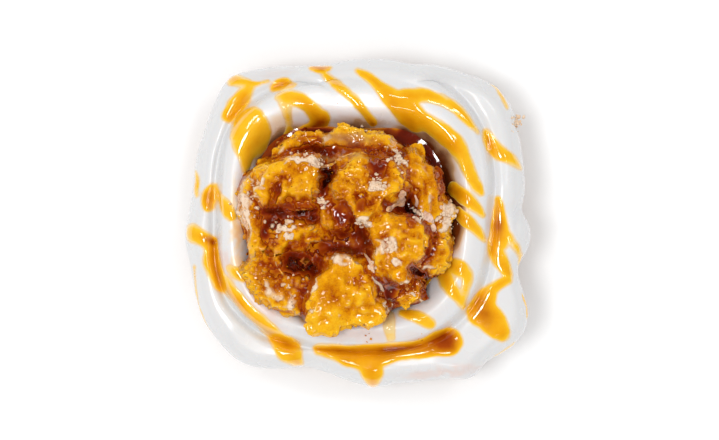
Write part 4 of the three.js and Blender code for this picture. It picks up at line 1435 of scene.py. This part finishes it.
def glaze_depth(points, cause, rough, seed):
    """How deep the glaze's colour is: thin glaze, mottled most on rough pieces and thinner on ridges, taken
    towards the deepest where caramel has pooled or is near, in dips, where caramel gathers and painted
    shade darkens it too, and under other pieces, as painted shade."""
    fine = noises(points, (0.08, 2.4, seed + 96), (0.06, 0.8, seed + 97)) + 0.07 * cause.grain
    thin = THIN_GLAZE + 0.11 * noise(points, 7.5, seed + 95) - 0.1 * cause.pale + rough * fine
    # Deeper in small hollows, for caramel gathered there and as painted shade.
    thin = thin + 0.14 * (0.4 + 0.6 * rough) * np.minimum(cause.hollow, 0.6)
    thin = thin + 0.12 * np.minimum(cause.dip, 0) + 0.08 * np.minimum(cause.sink, 0)
    runs = 0.35 + 0.65 * cause.facing
    shares = (
        DEEP_POOLED * runs * smooth(0.05, 1, cause.pooled + 0.2 * cause.patch),
        DEEP_BESIDE * runs * cause.beside,
        # Dips and sinks: caramel that gathers there, and painted shade. Other pieces above: painted shade.
        DEEP_DIP * np.maximum(cause.dip, 0),
        DEEP_SINK * np.maximum(cause.sink, 0),
        SHADE_UNDER_PIECES * cause.covered,
        DEEP_UNDER * cause.under,
    )
    spared = np.prod([1 - share for share in shares], axis=0)
    return np.clip(DEEPEST_GLAZE + (thin - DEEPEST_GLAZE) * spared, *GLAZE_LIMITS)


def crumb_layers(points, up, dry, seed):
    """How glazed each point of the heap is, how deep the glaze's colour is, how pale the bare crumb is, how
    much a sheer film veils it, and how wet it shines. Glaze lies on what faces up and near caramel, and
    opens where crumb is bare."""
    cause = heap_causes(points, up, seed)
    rough = 0.3 + 0.7 * min(1, 3 * dry)
    bare = smooth(*BARE_CRUMB, cause.pale + 0.3 * cause.grain - 0.2 * cause.hollow)
    held = up + 0.3 * cause.patch + 0.6 * cause.under + 0.25 * cause.hollow - 0.5 * dry
    glaze = np.clip(smooth(*GLAZE_HOLDS, held) + 0.5 * cause.pooled, 0, 1)
    glaze = glaze * (1 - 0.95 * bare * (1 - 0.6 * cause.pooled))
    uneven = 0.3 * (cause.grain - cause.hollow) * smooth(0.25, 0.7, up)
    return {
        "glaze": glaze,
        "depth": glaze_depth(points, cause, rough, seed),
        "pale": np.clip(cause.pale + uneven, 0, 1.5),
        "milk": cause.milk,
        "wet": glaze * smooth(*SHINY_FACES, up),
    }


class AddCookies(RollPieceOperator, bpy.types.Operator):
    """Heap the broken pieces of cookie in the hollow"""

    bl_idname = "roll.add_cookies"
    bl_label = "Broken Cookie"

    def execute(self, context):
        for number, (cookie, (points, quads)) in enumerate(zip(COOKIES, heap_forms()), 1):
            up = point_normals(points, quads)[:, 2]
            layers = crumb_layers(points, up, cookie["dry"], cookie["seed"])
            node = f"cookie_{number:02d}"
            name = f"broken_{node}"
            piece = add_mesh(name, points, quads.tolist(), cookie_material(), layers)
            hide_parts(node)
        return {"FINISHED"}


def grid_patch(place, height, thickness, wanted):
    """A patch of a grid seen from above, as tall as a field and with a flat-sided thickness."""
    top = np.stack([place[..., 0], place[..., 1], height], axis=-1)[::-1]
    return closed_patch(top, top - (0, 0, thickness), whole_cells(wanted[::-1], False), False)


class AddRubble(RollPieceOperator, bpy.types.Operator):
    """Fill between the pieces with glazed crumbs"""

    bl_idname = "roll.add_rubble"
    bl_label = "Crumbs Between the Pieces"

    def execute(self, context):
        fields = heap_fields()
        rubble = fields["rubble"]
        wanted = (rubble > fields["pieces"] - 0.4) & fields["inside"]
        spots, faces, _ = grid_patch(fields["place"], rubble, 1.2, wanted)
        slope = np.hypot(*np.gradient(rubble, HEAP_STEP))
        up = at_cells(1 / np.hypot(1, slope), spots)
        layers = crumb_layers(spots, up, 0.2, 130)
        piece = add_mesh("glazed_rubble", spots, faces, cookie_material(), layers)
        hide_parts("cookie_01")
        return {"FINISHED"}


FILM_TONE = 0.52  # the depth of colour of the thinnest caramel on the heap, and what thick caramel adds
THICK_TONE = 0.36
THICK_CLEAR = 0.75  # mm in which two thirds of that is reached
GAP_TONE = 0.3  # what is added where caramel is deepest, a painted shade in the deep gaps between pieces too, and the strength of pooled caramel there
GAP_POOL = (1.12, 1.4)


class AddHeapCaramel(RollPieceOperator, bpy.types.Operator):
    """Pour caramel over the heap, deep between the pieces"""

    bl_idname = "roll.add_heap_caramel"
    bl_label = "Caramel Over the Heap"

    def execute(self, context):
        fields = heap_fields()
        over = fields["caramel"] - fields["heap"]
        wanted = (over > -0.15) & fields["inside"]
        spots, faces, numbers = grid_patch(fields["place"], fields["caramel"], 0.8, wanted)
        thick = blurred(np.clip(over, 0, None), 0.4)
        depth = FILM_TONE + THICK_TONE * (1 - np.exp(-thick / THICK_CLEAR))
        depth = depth + 0.06 * noise(fields["place"], 3.2, 125)
        # Darkest in the deepest gaps between pieces: painted shade over the caramel there.
        depth = depth + GAP_TONE * smooth(*GAP_POOL, fields["pooled"])
        layers = {"depth": depth[::-1].ravel()[numbers]}
        piece = add_mesh("caramel_on_heap", spots, faces, caramel_material(), layers)
        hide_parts("caramel_pool")
        return {"FINISHED"}


# Icing that lies over the heap in streaks and strands, as runs of (x, y, half width) in mm, and how glazed
# each is.
ICING_STREAKS = [
    ([(17.4, 8.3, 0.6), (18.6, 5.6, 0.9), (20.4, 3, 0.8), (21.2, 0.4, 0.6)], 0.1),
    ([(20.4, 3.2, 0.6), (22.4, 0.2, 0.7), (23.6, -3, 0.5)], 0.1),
    ([(14.4, 9.6, 0.9), (13.4, 8.2, 1.6), (12.4, 6.2, 1.4), (10.6, 4.6, 0.8), (8.6, 3.4, 0.5)], 0.3),
    ([(1.8, -9.4, 0.3), (3.4, -11.6, 0.4), (4.4, -14, 0.6), (5, -15.6, 0.4)], 0.3),
    ([(-25.2, -8, 0.25), (-25.4, -11, 0.3), (-24.4, -14, 0.25), (-22, -17.4, 0.3)], 0.75),
    ([(-12.8, 16.6, 0.3), (-8, 17.6, 0.3), (-3.4, 20.4, 0.35), (0.6, 20.8, 0.3)], 0.75),
    ([(-36, 10, 0.4), (-37, 5, 0.5), (-36.8, -1, 0.5), (-35.8, -5, 0.4)], 0.3),
    ([(-34.8, 8, 0.4), (-35, 3, 0.45), (-34, -3, 0.4)], 0.4),
]
STREAK_AROUND = 14
STREAK_STEP = 0.35
STREAK_FLAT = 0.32  # how tall a streak is for its width
STREAK_LIFT = 0.1


def streak_form(run):
    """A streak as rings on the heap: a spline through its spots, with an oval section across it that
    shrinks to nothing at both ends by an eighth power, uneven by noise. It lies half on the heap and half
    on what the heap is on average across it."""
    corners = np.array(run, float)
    steps = int(length(np.diff(corners[:, :2], axis=0)).sum() / STREAK_STEP) + 4
    x, y, half = spline(corners, steps).T
    middle = np.stack([x, y, 0 * x], axis=-1)
    half = half * np.sqrt(1 - 0.98 * np.linspace(-1, 1, steps) ** 8)
    half = half * (1 + noises(middle, (0.6, 1.8, 161), (0.4, 0.9, 162)))
    heading = unit(np.stack([np.gradient(x), np.gradient(y)], axis=-1))
    across = np.stack([heading[:, 1], -heading[:, 0], 0 * x], axis=-1)
    turn = np.linspace(0, TAU, STREAK_AROUND, endpoint=False)[:, None, None]
    ring = across * np.cos(turn) + np.array([0, 0, STREAK_FLAT]) * np.sin(turn)
    points = middle + ring * half[:, None]
    heap = blurred(heap_fields()["top"], 0.5)
    ground = at_cells(heap, points.reshape(-1, 3)).reshape(points.shape[:-1])
    points[..., 2] += 0.5 * ground + 0.5 * ground.mean(0) + STREAK_LIFT
    points[..., 2] += 0.2 * noise(points, 1.2, 163)
    return points


class AddStreaks(RollPieceOperator, bpy.types.Operator):
    """Lay streaks and strands of icing over the heap"""

    bl_idname = "roll.add_streaks"
    bl_label = "Icing Streaks"

    def execute(self, context):
        spots = np.zeros((0, 3))
        faces = []
        glaze = []
        for run, glazed in ICING_STREAKS:
            points = streak_form(run)
            own_spots, own_faces = closed_rings(points, points[:, 0].mean(0), points[:, -1].mean(0))
            faces += [[number + len(spots) for number in face] for face in own_faces]
            spots = np.concatenate([spots, own_spots])
            glaze += [glazed] * len(own_spots)
        layers = {"glaze": glaze, "depth": np.full(len(spots), 0.25)}
        finish = material("Icing streaks", streak_finish)
        piece = add_mesh("icing_streaks", spots, faces, finish, layers)
        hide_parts("icing")
        return {"FINISHED"}


# Scattered crumbs: clusters of (x, y, spread in mm, how many, smallest and largest radius in mm, and how
# glazed). Glazed clusters have fewer than they say.
CRUMB_CLUSTERS = [
    (-12.8, 18.8, 2.2, 34, 0.2, 0.6, 0),
    (-17, 18.8, 3, 18, 0.2, 0.45, 0.2),
    (12.6, 19.4, 2.6, 34, 0.2, 0.65, 0),
    (10.6, 23, 2.4, 16, 0.2, 0.5, 0.5),
    (6.2, 11, 2.2, 30, 0.25, 0.7, 0.1),
    (-22.6, -1.7, 2.8, 16, 0.35, 0.95, 0.15),
    (-11.1, 6.2, 1.8, 9, 0.3, 0.8, 0.15),
    (1.4, 0, 1.6, 12, 0.3, 0.8, 0),
    (9.7, -7.4, 2.2, 20, 0.25, 0.6, 0.1),
    (4.2, -13.2, 1.2, 8, 0.25, 0.6, 0),
    (27, 1.6, 2.6, 36, 0.3, 0.8, 0.1),
    (18.4, 2, 1.8, 12, 0.3, 0.7, 0),
    (-34.4, 4, 3.6, 26, 0.25, 0.6, 0.3),
    (-31, 11.4, 2.6, 22, 0.2, 0.55, 0.4),
    (-21, -21.6, 4.2, 16, 0.25, 0.6, 0.3),
    (-29, -14, 4, 22, 0.25, 0.6, 1),
    (-3, 14, 4, 50, 0.2, 0.5, 1),
    (0, 9, 3, 20, 0.2, 0.5, 1),
    (-24, 13, 4, 22, 0.2, 0.5, 1),
    (7.6, -22.6, 3, 14, 0.15, 0.4, 0.6),
    (16, -21, 3.4, 9, 0.25, 0.6, 0.8),
    (21.6, -12.6, 2.6, 12, 0.2, 0.6, 0.7),
    (2.6, 28.6, 1.4, 4, 0.3, 0.6, 0.2),
    (3.4, -36.4, 1.3, 9, 0.2, 0.5, 0.9),
    (20, -36, 1.2, 8, 0.2, 0.45, 0.9),
    (50.2, 31.6, 1.4, 16, 0.25, 0.7, 0.1),
    (49.4, 29, 1.3, 12, 0.2, 0.6, 0.1),
    (-9.2, 38.6, 0.6, 2, 0.15, 0.25, 0.9),
    (-6, 36.6, 0.6, 2, 0.15, 0.2, 0.9),
]
CRUMB_SIDE = 5
CRUMB_FEWER = 0.4  # the share of a cluster's crumbs that glaze hides
CRUMB_GATHER = 1.6  # how much narrower the bell of their places is than their spread
CRUMB_SMALLNESS = 2.2  # the power that makes small crumbs more common
CRUMB_UNEVEN = 0.12  # how unevenly they are glazed


def crumb_spots(random):
    """The middles, radii and glaze of the scattered crumbs: a bell of places round each cluster."""
    rows = []
    for x, y, wide, count, small, large, glazed in CRUMB_CLUSTERS:
        count = int(count * (1 - CRUMB_FEWER * glazed))
        place = random.normal(0, wide / CRUMB_GATHER, (count, 2)) + (x, y)
        radius = small + (large - small) * random.random(count) ** CRUMB_SMALLNESS
        glaze = np.clip(glazed + random.normal(0, CRUMB_UNEVEN, count), 0, 1)
        rows.append(np.column_stack([place, radius, glaze]))
    return np.concatenate(rows)


def crumb_ground(crumbs):
    """The height that each crumb lies on: the heap, or outside it the higher of icing and heap."""
    heap = at_cells(blurred(heap_fields()["top"], 0.3), crumbs)
    icing = np.maximum(iced_height(crumbs[:, 0], crumbs[:, 1]), np.where(heap > HEAP_FOOT_Z, heap, 0))
    return np.where(coil_reach(crumbs) < 30, heap, icing)


class AddCrumbs(RollPieceOperator, bpy.types.Operator):
    """Scatter crumbs over the heap and the icing"""

    bl_idname = "roll.add_crumbs"
    bl_label = "Scattered Crumbs"

    def execute(self, context):
        random = np.random.default_rng(17)
        crumbs = crumb_spots(random)
        x, y, radius, glaze = crumbs.T
        count = np.arange(len(x))[:, None, None]
        middle = np.stack([x, y, crumb_ground(crumbs) + (0.3 - 0.35 * glaze) * radius], axis=-1)
        directions, quads = cube_ball(CRUMB_SIDE)
        shape = directions[None] * (0.65 + 0.7 * random.random((len(x), 1, 3)))
        rough = 1 + 0.6 * noise(shape * 1.3 + 7 * count, 1, 171)
        points = middle[:, None] + shape * rough[..., None] * radius[:, None, None]
        faces = (quads[None] + len(directions) * count).reshape(-1, 4).tolist()
        values = {
            "glaze": glaze,
            "depth": 0.34 + 0.3 * glaze * random.random(len(x)),
            "pale": 0.8 + 0.7 * random.random(len(x)),
            "wet": 0.6 * glaze,
        }
        layers = {name: np.repeat(value, len(directions)) for name, value in values.items()}
        points = points.reshape(-1, 3)
        piece = add_mesh("scattered_crumbs", points, faces, cookie_material(), layers)
        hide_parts("cookie_01")
        return {"FINISHED"}


POOL_CLEAR = 1.3  # mm of sauce over the icing at which two thirds of its colour is reached
POOL_TONE = 0.86
POOL_CARAMEL_AND_SHADE = 0.85  # how deep its colour is where the wall beside it is darkened in full by caramel and painted shade
POOL_DEEP_TONE = 0.9
POOL_CREEP = 0.5  # mm that it climbs at its edge
POOL_FLOOR_Z = WELL_Z - 0.8
POOL_AROUND = 220
POOL_RINGS = 60


class AddPool(RollPieceOperator, bpy.types.Operator):
    """Fill the hollow with caramel sauce"""

    bl_idname = "roll.add_pool"
    bl_label = "Caramel Pool"

    def execute(self, context):
        angle, share = ring_grid(POOL_AROUND, np.linspace(0.05, 1, POOL_RINGS))
        radius = POOL_REACH * share * squircle(angle, COIL_POWER)
        flat = polar(angle, radius, 0) + (*AXIS, 0)
        ripple = noises(flat, (0.3, 8, 111), (0.12, 3, 112))
        height = POOL_Z + ripple + POOL_CREEP * smooth(0.84, 0.98, share)
        top = flat + np.array([0, 0, 1]) * height[..., None]
        under = flat[:, ::-20] + (0, 0, POOL_FLOOR_Z)
        points = np.concatenate([top, under], axis=1)
        spots, faces = closed_rings(points, (*AXIS, POOL_Z), (*AXIS, POOL_FLOOR_Z))
        over_wall = np.clip(height - top_height(flat[..., 0], flat[..., 1]), 0, None)
        depth = POOL_TONE * (1 - np.exp(-over_wall / POOL_CLEAR)) + 0.05 * noise(flat, 6, 113)
        # The sauce takes on the wall's caramel and painted shade.
        depth = np.maximum(depth, POOL_CARAMEL_AND_SHADE * wall_caramel_and_shade(flat))
        depth = np.concatenate([depth, np.full(under.shape[:2], POOL_DEEP_TONE)], axis=1)
        layers = {"depth": np.append(depth.ravel(), [POOL_DEEP_TONE, POOL_DEEP_TONE])}
        piece = add_mesh("caramel_sauce", spots, faces, caramel_material(), layers)
        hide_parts("caramel_pool")
        return {"FINISHED"}


def wire(tree, socket, value):
    """Links an output to an input, or sets the input to a plain value. Colours come without their alpha."""
    if isinstance(value, bpy.types.NodeSocket):
        tree.links.new(value, socket)
    else:
        socket.default_value = (*value, 1) if socket.type == "RGBA" else value


def put(tree, kind, **values):
    """A shader node with settings and inputs by name, an underscore standing for a space."""
    node = tree.nodes.new(kind)
    for name, value in values.items():
        if hasattr(node, name):
            setattr(node, name, value)
        else:
            wire(tree, node.inputs[name.replace("_", " ")], value)
    return node


def shared(tree, name, output, kind, build, **values):
    """The output of a shared node group with its inputs fed. A build function makes the group once, and
    gives what goes to its output."""
    group = bpy.data.node_groups.get(name)
    if not group:
        group = bpy.data.node_groups.new(name, "ShaderNodeTree")
        group.interface.new_socket(output, in_out="OUTPUT", socket_type=kind)
        for label in values:
            group.interface.new_socket(label, in_out="INPUT", socket_type="NodeSocketFloat")
        start = group.nodes.new("NodeGroupInput")
        put(group, "NodeGroupOutput", **{output: build(group, start.outputs)})
    return put(tree, "ShaderNodeGroup", node_tree=group, **values).outputs[output]


def layer(tree, name):
    """The value of a mesh's own layer."""
    return put(tree, "ShaderNodeAttribute", attribute_name=name).outputs["Fac"]


def ranged(tree, value, low, high, to_low=0, to_high=1):
    """A value moved from one range to another, held at its ends."""
    ends = dict(From_Min=low, From_Max=high, To_Min=to_low, To_Max=to_high)
    return put(tree, "ShaderNodeMapRange", Value=value, **ends).outputs["Result"]


def maths(tree, operation, first, second):
    """Two values, or a value and a number, put together by one operation."""
    node = put(tree, "ShaderNodeMath", operation=operation)
    wire(tree, node.inputs[0], first)
    wire(tree, node.inputs[1], second)
    return node.outputs["Value"]


def mixed(tree, share, first, second, blend="MIX"):
    """Two colours mixed by a share."""
    node = put(tree, "ShaderNodeMix", data_type="RGBA", blend_type=blend, Factor=share)
    wire(tree, node.inputs[6], first)
    wire(tree, node.inputs[7], second)
    return node.outputs[2]


def bumped(tree, height, strength, distance):
    """Normals with small relief."""
    node = put(tree, "ShaderNodeBump", Height=height, Strength=strength, Distance=distance)
    return node.outputs["Normal"]


def caramel_ramp(tree, inputs):
    """Caramel's colour by its depth, from a film on white to nearly black."""
    shade = colours()
    stops = {0.12: shade.yellow, 0.3: shade.gold, 0.5: shade.amber, 0.63: shade.russet, 0.77: shade.brown}
    node = put(tree, "ShaderNodeValToRGB", Fac=inputs["Depth"])
    first, last = node.color_ramp.elements
    first.color = (*shade.film, 1)
    last.position = 0.93
    last.color = (*shade.umber, 1)
    for place, colour in stops.items():
        node.color_ramp.elements.new(place).color = (*colour, 1)
    return node.outputs["Color"]


def soft_noise(tree, inputs):
    """Soft noise on the object's own coordinates, round a half."""
    place = put(tree, "ShaderNodeTexCoord").outputs["Object"]
    node = put(tree, "ShaderNodeTexNoise", Vector=place, Scale=inputs["Scale"], Detail=3, Roughness=0.6)
    return node.outputs["Fac"]


def speck_mask(tree, inputs):
    """Small dark specks: the middles of cells whose own random number is high."""
    place = put(tree, "ShaderNodeTexCoord").outputs["Object"]
    cells = put(tree, "ShaderNodeTexVoronoi", Vector=place, Scale=inputs["Scale"]).outputs
    near = ranged(tree, cells["Distance"], 0.12, 0.22, 1, 0)
    number = put(tree, "ShaderNodeSeparateColor", Color=cells["Color"]).outputs["Red"]
    return maths(tree, "MULTIPLY", near, maths(tree, "GREATER_THAN", number, inputs["Rarity"]))


def caramel_colour(tree, depth):
    """The shared colour of caramel at a depth."""
    return shared(tree, "Caramel Depth", "Colour", "NodeSocketColor", caramel_ramp, Depth=depth)


def mottle(tree, scale):
    """The shared mottle at a scale of its own."""
    return shared(tree, "Mottle", "Value", "NodeSocketFloat", soft_noise, Scale=scale)


def mottled(tree, scale, low, high, span=(0.3, 0.7)):
    """The shared mottle, moved from a span of its values to a range."""
    return ranged(tree, mottle(tree, scale), *span, low, high)


def material(name, dress):
    """A material that is made once. A dress function gives what feeds its shader."""
    finish = bpy.data.materials.get(name)
    if not finish:
        finish = bpy.data.materials.new(name)
        finish.use_nodes = True
        tree = finish.node_tree
        tree.nodes.clear()
        shader = put(tree, "ShaderNodeBsdfPrincipled", **dress(tree))
        put(tree, "ShaderNodeOutputMaterial", Surface=shader.outputs["BSDF"])
    return finish


def icing_finish(tree):
    """Glossy sugar icing, tinted by the caramel on it and by the cinnamon under it, brighter in the hollow
    with painted light from the icing round it, and darker with painted shade on shaded faces and on the
    hollow's wall.
    """
    shade = colours()
    film = layer(tree, "caramel")
    caramel_and_shade = layer(tree, "caramel_and_shade")
    depth = maths(tree, "ADD", film, mottled(tree, 160, -0.05, 0.05))
    lit = mixed(tree, layer(tree, "hollow"), shade.icing, shade.hollow)
    # Pinker and darker where cinnamon shows through and where shade is painted in.
    white = mixed(tree, layer(tree, "cinnamon_and_shade"), lit, shade.cinnamon_and_shade)
    filmed = mixed(tree, ranged(tree, film, 0.02, 0.3), white, caramel_colour(tree, depth))
    # A tan wash, then dark brown, for caramel on the hollow's wall and the painted shade there.
    caramel_wash_and_shade = mixed(tree, ranged(tree, caramel_and_shade, 0, 0.4), filmed, shade.tan)
    return dict(
        Base_Color=mixed(tree, ranged(tree, caramel_and_shade, 0.3, 0.9), caramel_wash_and_shade, shade.caramel_and_shade),
        Roughness=mottled(tree, 90, 0.2, 0.32),
        Normal=bumped(tree, mottle(tree, 260), 0.06, 0.0005),
        Subsurface_Weight=0.12,
        Subsurface_Radius=(1, 0.7, 0.5),
        Subsurface_Scale=0.0015,
    )


def caramel_finish(tree):
    """Wet caramel, coloured by its depth."""
    depth = maths(tree, "ADD", layer(tree, "depth"), mottled(tree, 210, -0.05, 0.05))
    return dict(
        Base_Color=caramel_colour(tree, depth),
        Roughness=mottled(tree, 120, 0.05, 0.12),
        Normal=bumped(tree, mottle(tree, 300), 0.15, 0.0005),
        Coat_Weight=0.5,
        Coat_Roughness=0.04,
    )


def cookie_finish(tree):
    """Broken cookie: pale or golden crumb with dark specks, under a glaze of caramel where it was poured,
    satin where the glaze is thin and wet where it is deep."""
    shade = colours()
    glaze = layer(tree, "glaze")
    depth = layer(tree, "depth")
    small = mottled(tree, 1900, -0.06, 0.06, (0.36, 0.64))
    uneven = maths(tree, "ADD", mottled(tree, 420, -0.04, 0.04), small)
    grains = mottled(tree, 900, -0.25, 0.25, (0.35, 0.65))
    crumb = mixed(tree, maths(tree, "ADD", layer(tree, "pale"), grains), shade.crust, shade.crumb)
    caramel = caramel_colour(tree, maths(tree, "ADD", depth, uneven))
    glazed = mixed(tree, 1, caramel, shade.under, "MULTIPLY")
    coated = mixed(tree, ranged(tree, glaze, 0.05, 0.85), crumb, glazed)
    veiled = mixed(tree, layer(tree, "milk"), coated, shade.milk)
    specks = shared(tree, "Specks", "Mask", "NodeSocketFloat", speck_mask, Scale=900, Rarity=0.72)
    dots = maths(tree, "MULTIPLY", specks, mottled(tree, 120, 0.1, 1, (0.42, 0.6)))
    sheen = ranged(tree, depth, 0.3, 0.6, 0.15, 0.05)
    dull = maths(tree, "MULTIPLY", maths(tree, "SUBTRACT", 1, glaze), 0.5)
    wet = maths(tree, "MULTIPLY", layer(tree, "wet"), mottled(tree, 560, 0.1, 1, (0.43, 0.5)))
    grain = maths(tree, "MULTIPLY", mottle(tree, 1500), ranged(tree, glaze, 0.3, 0.9, 1, 0.02))
    return dict(
        Base_Color=mixed(tree, dots, veiled, shade.speck),
        Roughness=maths(tree, "ADD", sheen, dull),
        Specular_IOR_Level=0.08,
        Normal=bumped(tree, grain, 0.9, 0.0007),
        Coat_Weight=wet,
        Coat_Roughness=0.05,
    )


def streak_finish(tree):
    """Icing on the heap, pinkish and wet, with some glaze, and thin in patches."""
    depth = maths(tree, "ADD", layer(tree, "depth"), mottled(tree, 800, -0.1, 0.2))
    patchy = maths(tree, "ADD", layer(tree, "glaze"), mottled(tree, 500, -0.25, 0.25, (0.35, 0.65)))
    return dict(
        Base_Color=mixed(tree, patchy, colours().streak, caramel_colour(tree, depth)),
        Roughness=mottled(tree, 300, 0.15, 0.3),
        Alpha=mottled(tree, 520, 0.45, 1, (0.36, 0.58)),
        Coat_Weight=0.5,
        Coat_Roughness=0.05,
    )


def dough_finish(tree):
    """Baked dough, browner in patches, dry and finely pored."""
    patches = mottled(tree, 110, 0, 1, (0.35, 0.65))
    return dict(
        Base_Color=mixed(tree, patches, colours().dough, colours().baked),
        Roughness=mottled(tree, 300, 0.55, 0.8),
        Normal=bumped(tree, mottle(tree, 900), 0.5, 0.0006),
    )


def floor_finish(_):
    """A plain pale floor."""
    return dict(Base_Color=colours().floor, Roughness=1, Specular_IOR_Level=0)


def caramel_material():
    """The material of all caramel that lies thick."""
    return material("Caramel sauce", caramel_finish)


def cookie_material():
    """The material of all cookie, whole pieces and crumbs."""
    return material("Broken cookie", cookie_finish)


# Lamps: name, direction in degrees from +X, height over the floor in degrees, distance and size in m, and
# power in W. They aim at a spot so many m over the floor.
LAMPS = [
    ("key", 189, 78, 1.0, 0.2, 3.1),
    ("second", 140, 66, 1.1, 0.14, 0.7),
    ("third", 40, 72, 1.1, 0.14, 0.7),
    ("fourth", 285, 70, 1.1, 0.14, 0.7),
]
LAMP_AIM = 0.04
SKY_LIGHT = 0.74
SKY_GLEAM = 0.045  # how bright the sky is in glossy surfaces
FLOOR_HALF = 3.0


class AddStage(RollPieceOperator, bpy.types.Operator):
    """Set the floor, the lamps and the camera"""

    bl_idname = "roll.add_stage"
    bl_label = "Floor, Lamps and Camera"

    def execute(self, context):
        self.add_floor()
        for lamp in LAMPS:
            self.add_lamp(*lamp)
        self.add_sky(context.scene)
        self.add_camera(context.scene)
        context.scene.view_settings.view_transform = "Standard"
        return {"FINISHED"}

    def add_floor(self):
        """A large square."""
        mesh = bpy.data.meshes.new("floor")
        h = FLOOR_HALF
        mesh.from_pydata([(-h, -h, 0), (h, -h, 0), (h, h, 0), (-h, h, 0)], [], [(0, 1, 2, 3)])
        mesh.materials.append(material("Pale floor", floor_finish))
        add_object("floor", mesh)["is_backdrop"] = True

    def add_lamp(self, name, turn, rise, distance, size, power):
        """A round lamp that looks at the roll."""
        light = bpy.data.lights.new(name, "AREA")
        light.shape = "DISK"
        light.size = size
        light.energy = power
        lamp = add_object(name, light)
        turn = np.radians(turn)
        rise = np.radians(rise)
        flat = distance * np.cos(rise)
        lamp.location = polar(turn, flat, LAMP_AIM + distance * np.sin(rise))
        lamp.rotation_euler = (np.pi / 2 - rise, 0, turn + np.pi / 2)

    def add_sky(self, scene):
        """A white sky that lights evenly, and shows only faintly in glossy surfaces."""
        scene.world = bpy.data.worlds.new("soft sky")
        scene.world.use_nodes = True
        tree = scene.world.node_tree
        tree.nodes.clear()
        glossy = put(tree, "ShaderNodeLightPath").outputs["Is Glossy Ray"]
        strength = ranged(tree, glossy, 0, 1, SKY_LIGHT, SKY_GLEAM)
        light = put(tree, "ShaderNodeBackground", Color=(1, 1, 1), Strength=strength)
        put(tree, "ShaderNodeOutputWorld", Surface=light.outputs["Background"])

    def add_camera(self, scene):
        """A camera that looks straight down."""
        view = bpy.data.cameras.new("camera")
        view.lens = CAMERA_LENS
        view.sensor_width = SENSOR_WIDTH
        scene.camera = add_object("camera", view)
        scene.camera.location = (CAMERA_OVER[0] * MM, CAMERA_OVER[1] * MM, CAMERA_HEIGHT * MM)


class RollPanel(bpy.types.Panel):
    """Buttons and values for the roll"""

    bl_idname = "VIEW3D_PT_cinnamon_roll"
    bl_label = "Stuffed Cinnamon Roll"
    bl_space_type = "VIEW_3D"
    bl_region_type = "UI"
    bl_category = "Roll"

    def draw(self, context):
        for group in (context.scene.roll_sizes, context.scene.roll_colours):
            for name in group.__annotations__:
                self.layout.prop(group, name)
        for operator in PIECES:
            self.layout.operator(operator.bl_idname)


ON_THE_HEAP = (AddCookies, AddRubble, AddHeapCaramel, AddStreaks, AddCrumbs)
PIECES = (AddStage, AddDough, AddIcing, AddDrizzle, AddPool, *ON_THE_HEAP)
CLASSES = (RollSizes, RollColours, *PIECES, RollPanel)


def register():
    """Makes the classes known, and gives the scene its sizes and colours."""
    for item in CLASSES:
        bpy.utils.register_class(item)
    bpy.types.Scene.roll_sizes = PointerProperty(type=RollSizes)
    bpy.types.Scene.roll_colours = PointerProperty(type=RollColours)


def unregister():
    """Takes back what register() did."""
    del bpy.types.Scene.roll_colours
    del bpy.types.Scene.roll_sizes
    for item in reversed(CLASSES):
        bpy.utils.unregister_class(item)


def main():
    """Builds the roll piece by piece and works out the size before and after."""
    register()
    bpy.ops.roll.add_stage()
    bpy.ops.roll.add_dough()
    bpy.ops.roll.add_icing()
    bpy.ops.roll.add_drizzle()
    bpy.ops.roll.add_pool()
    bpy.ops.roll.add_cookies()
    bpy.ops.roll.add_rubble()
    bpy.ops.roll.add_heap_caramel()
    bpy.ops.roll.add_streaks()
    bpy.ops.roll.add_crumbs()
    boxes = {"cad": CAD_BOX, "visual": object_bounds()}
    plain = {name: [[float(v) for v in corner] for corner in box] for name, box in boxes.items()}


if __name__ == "__main__":
    main()
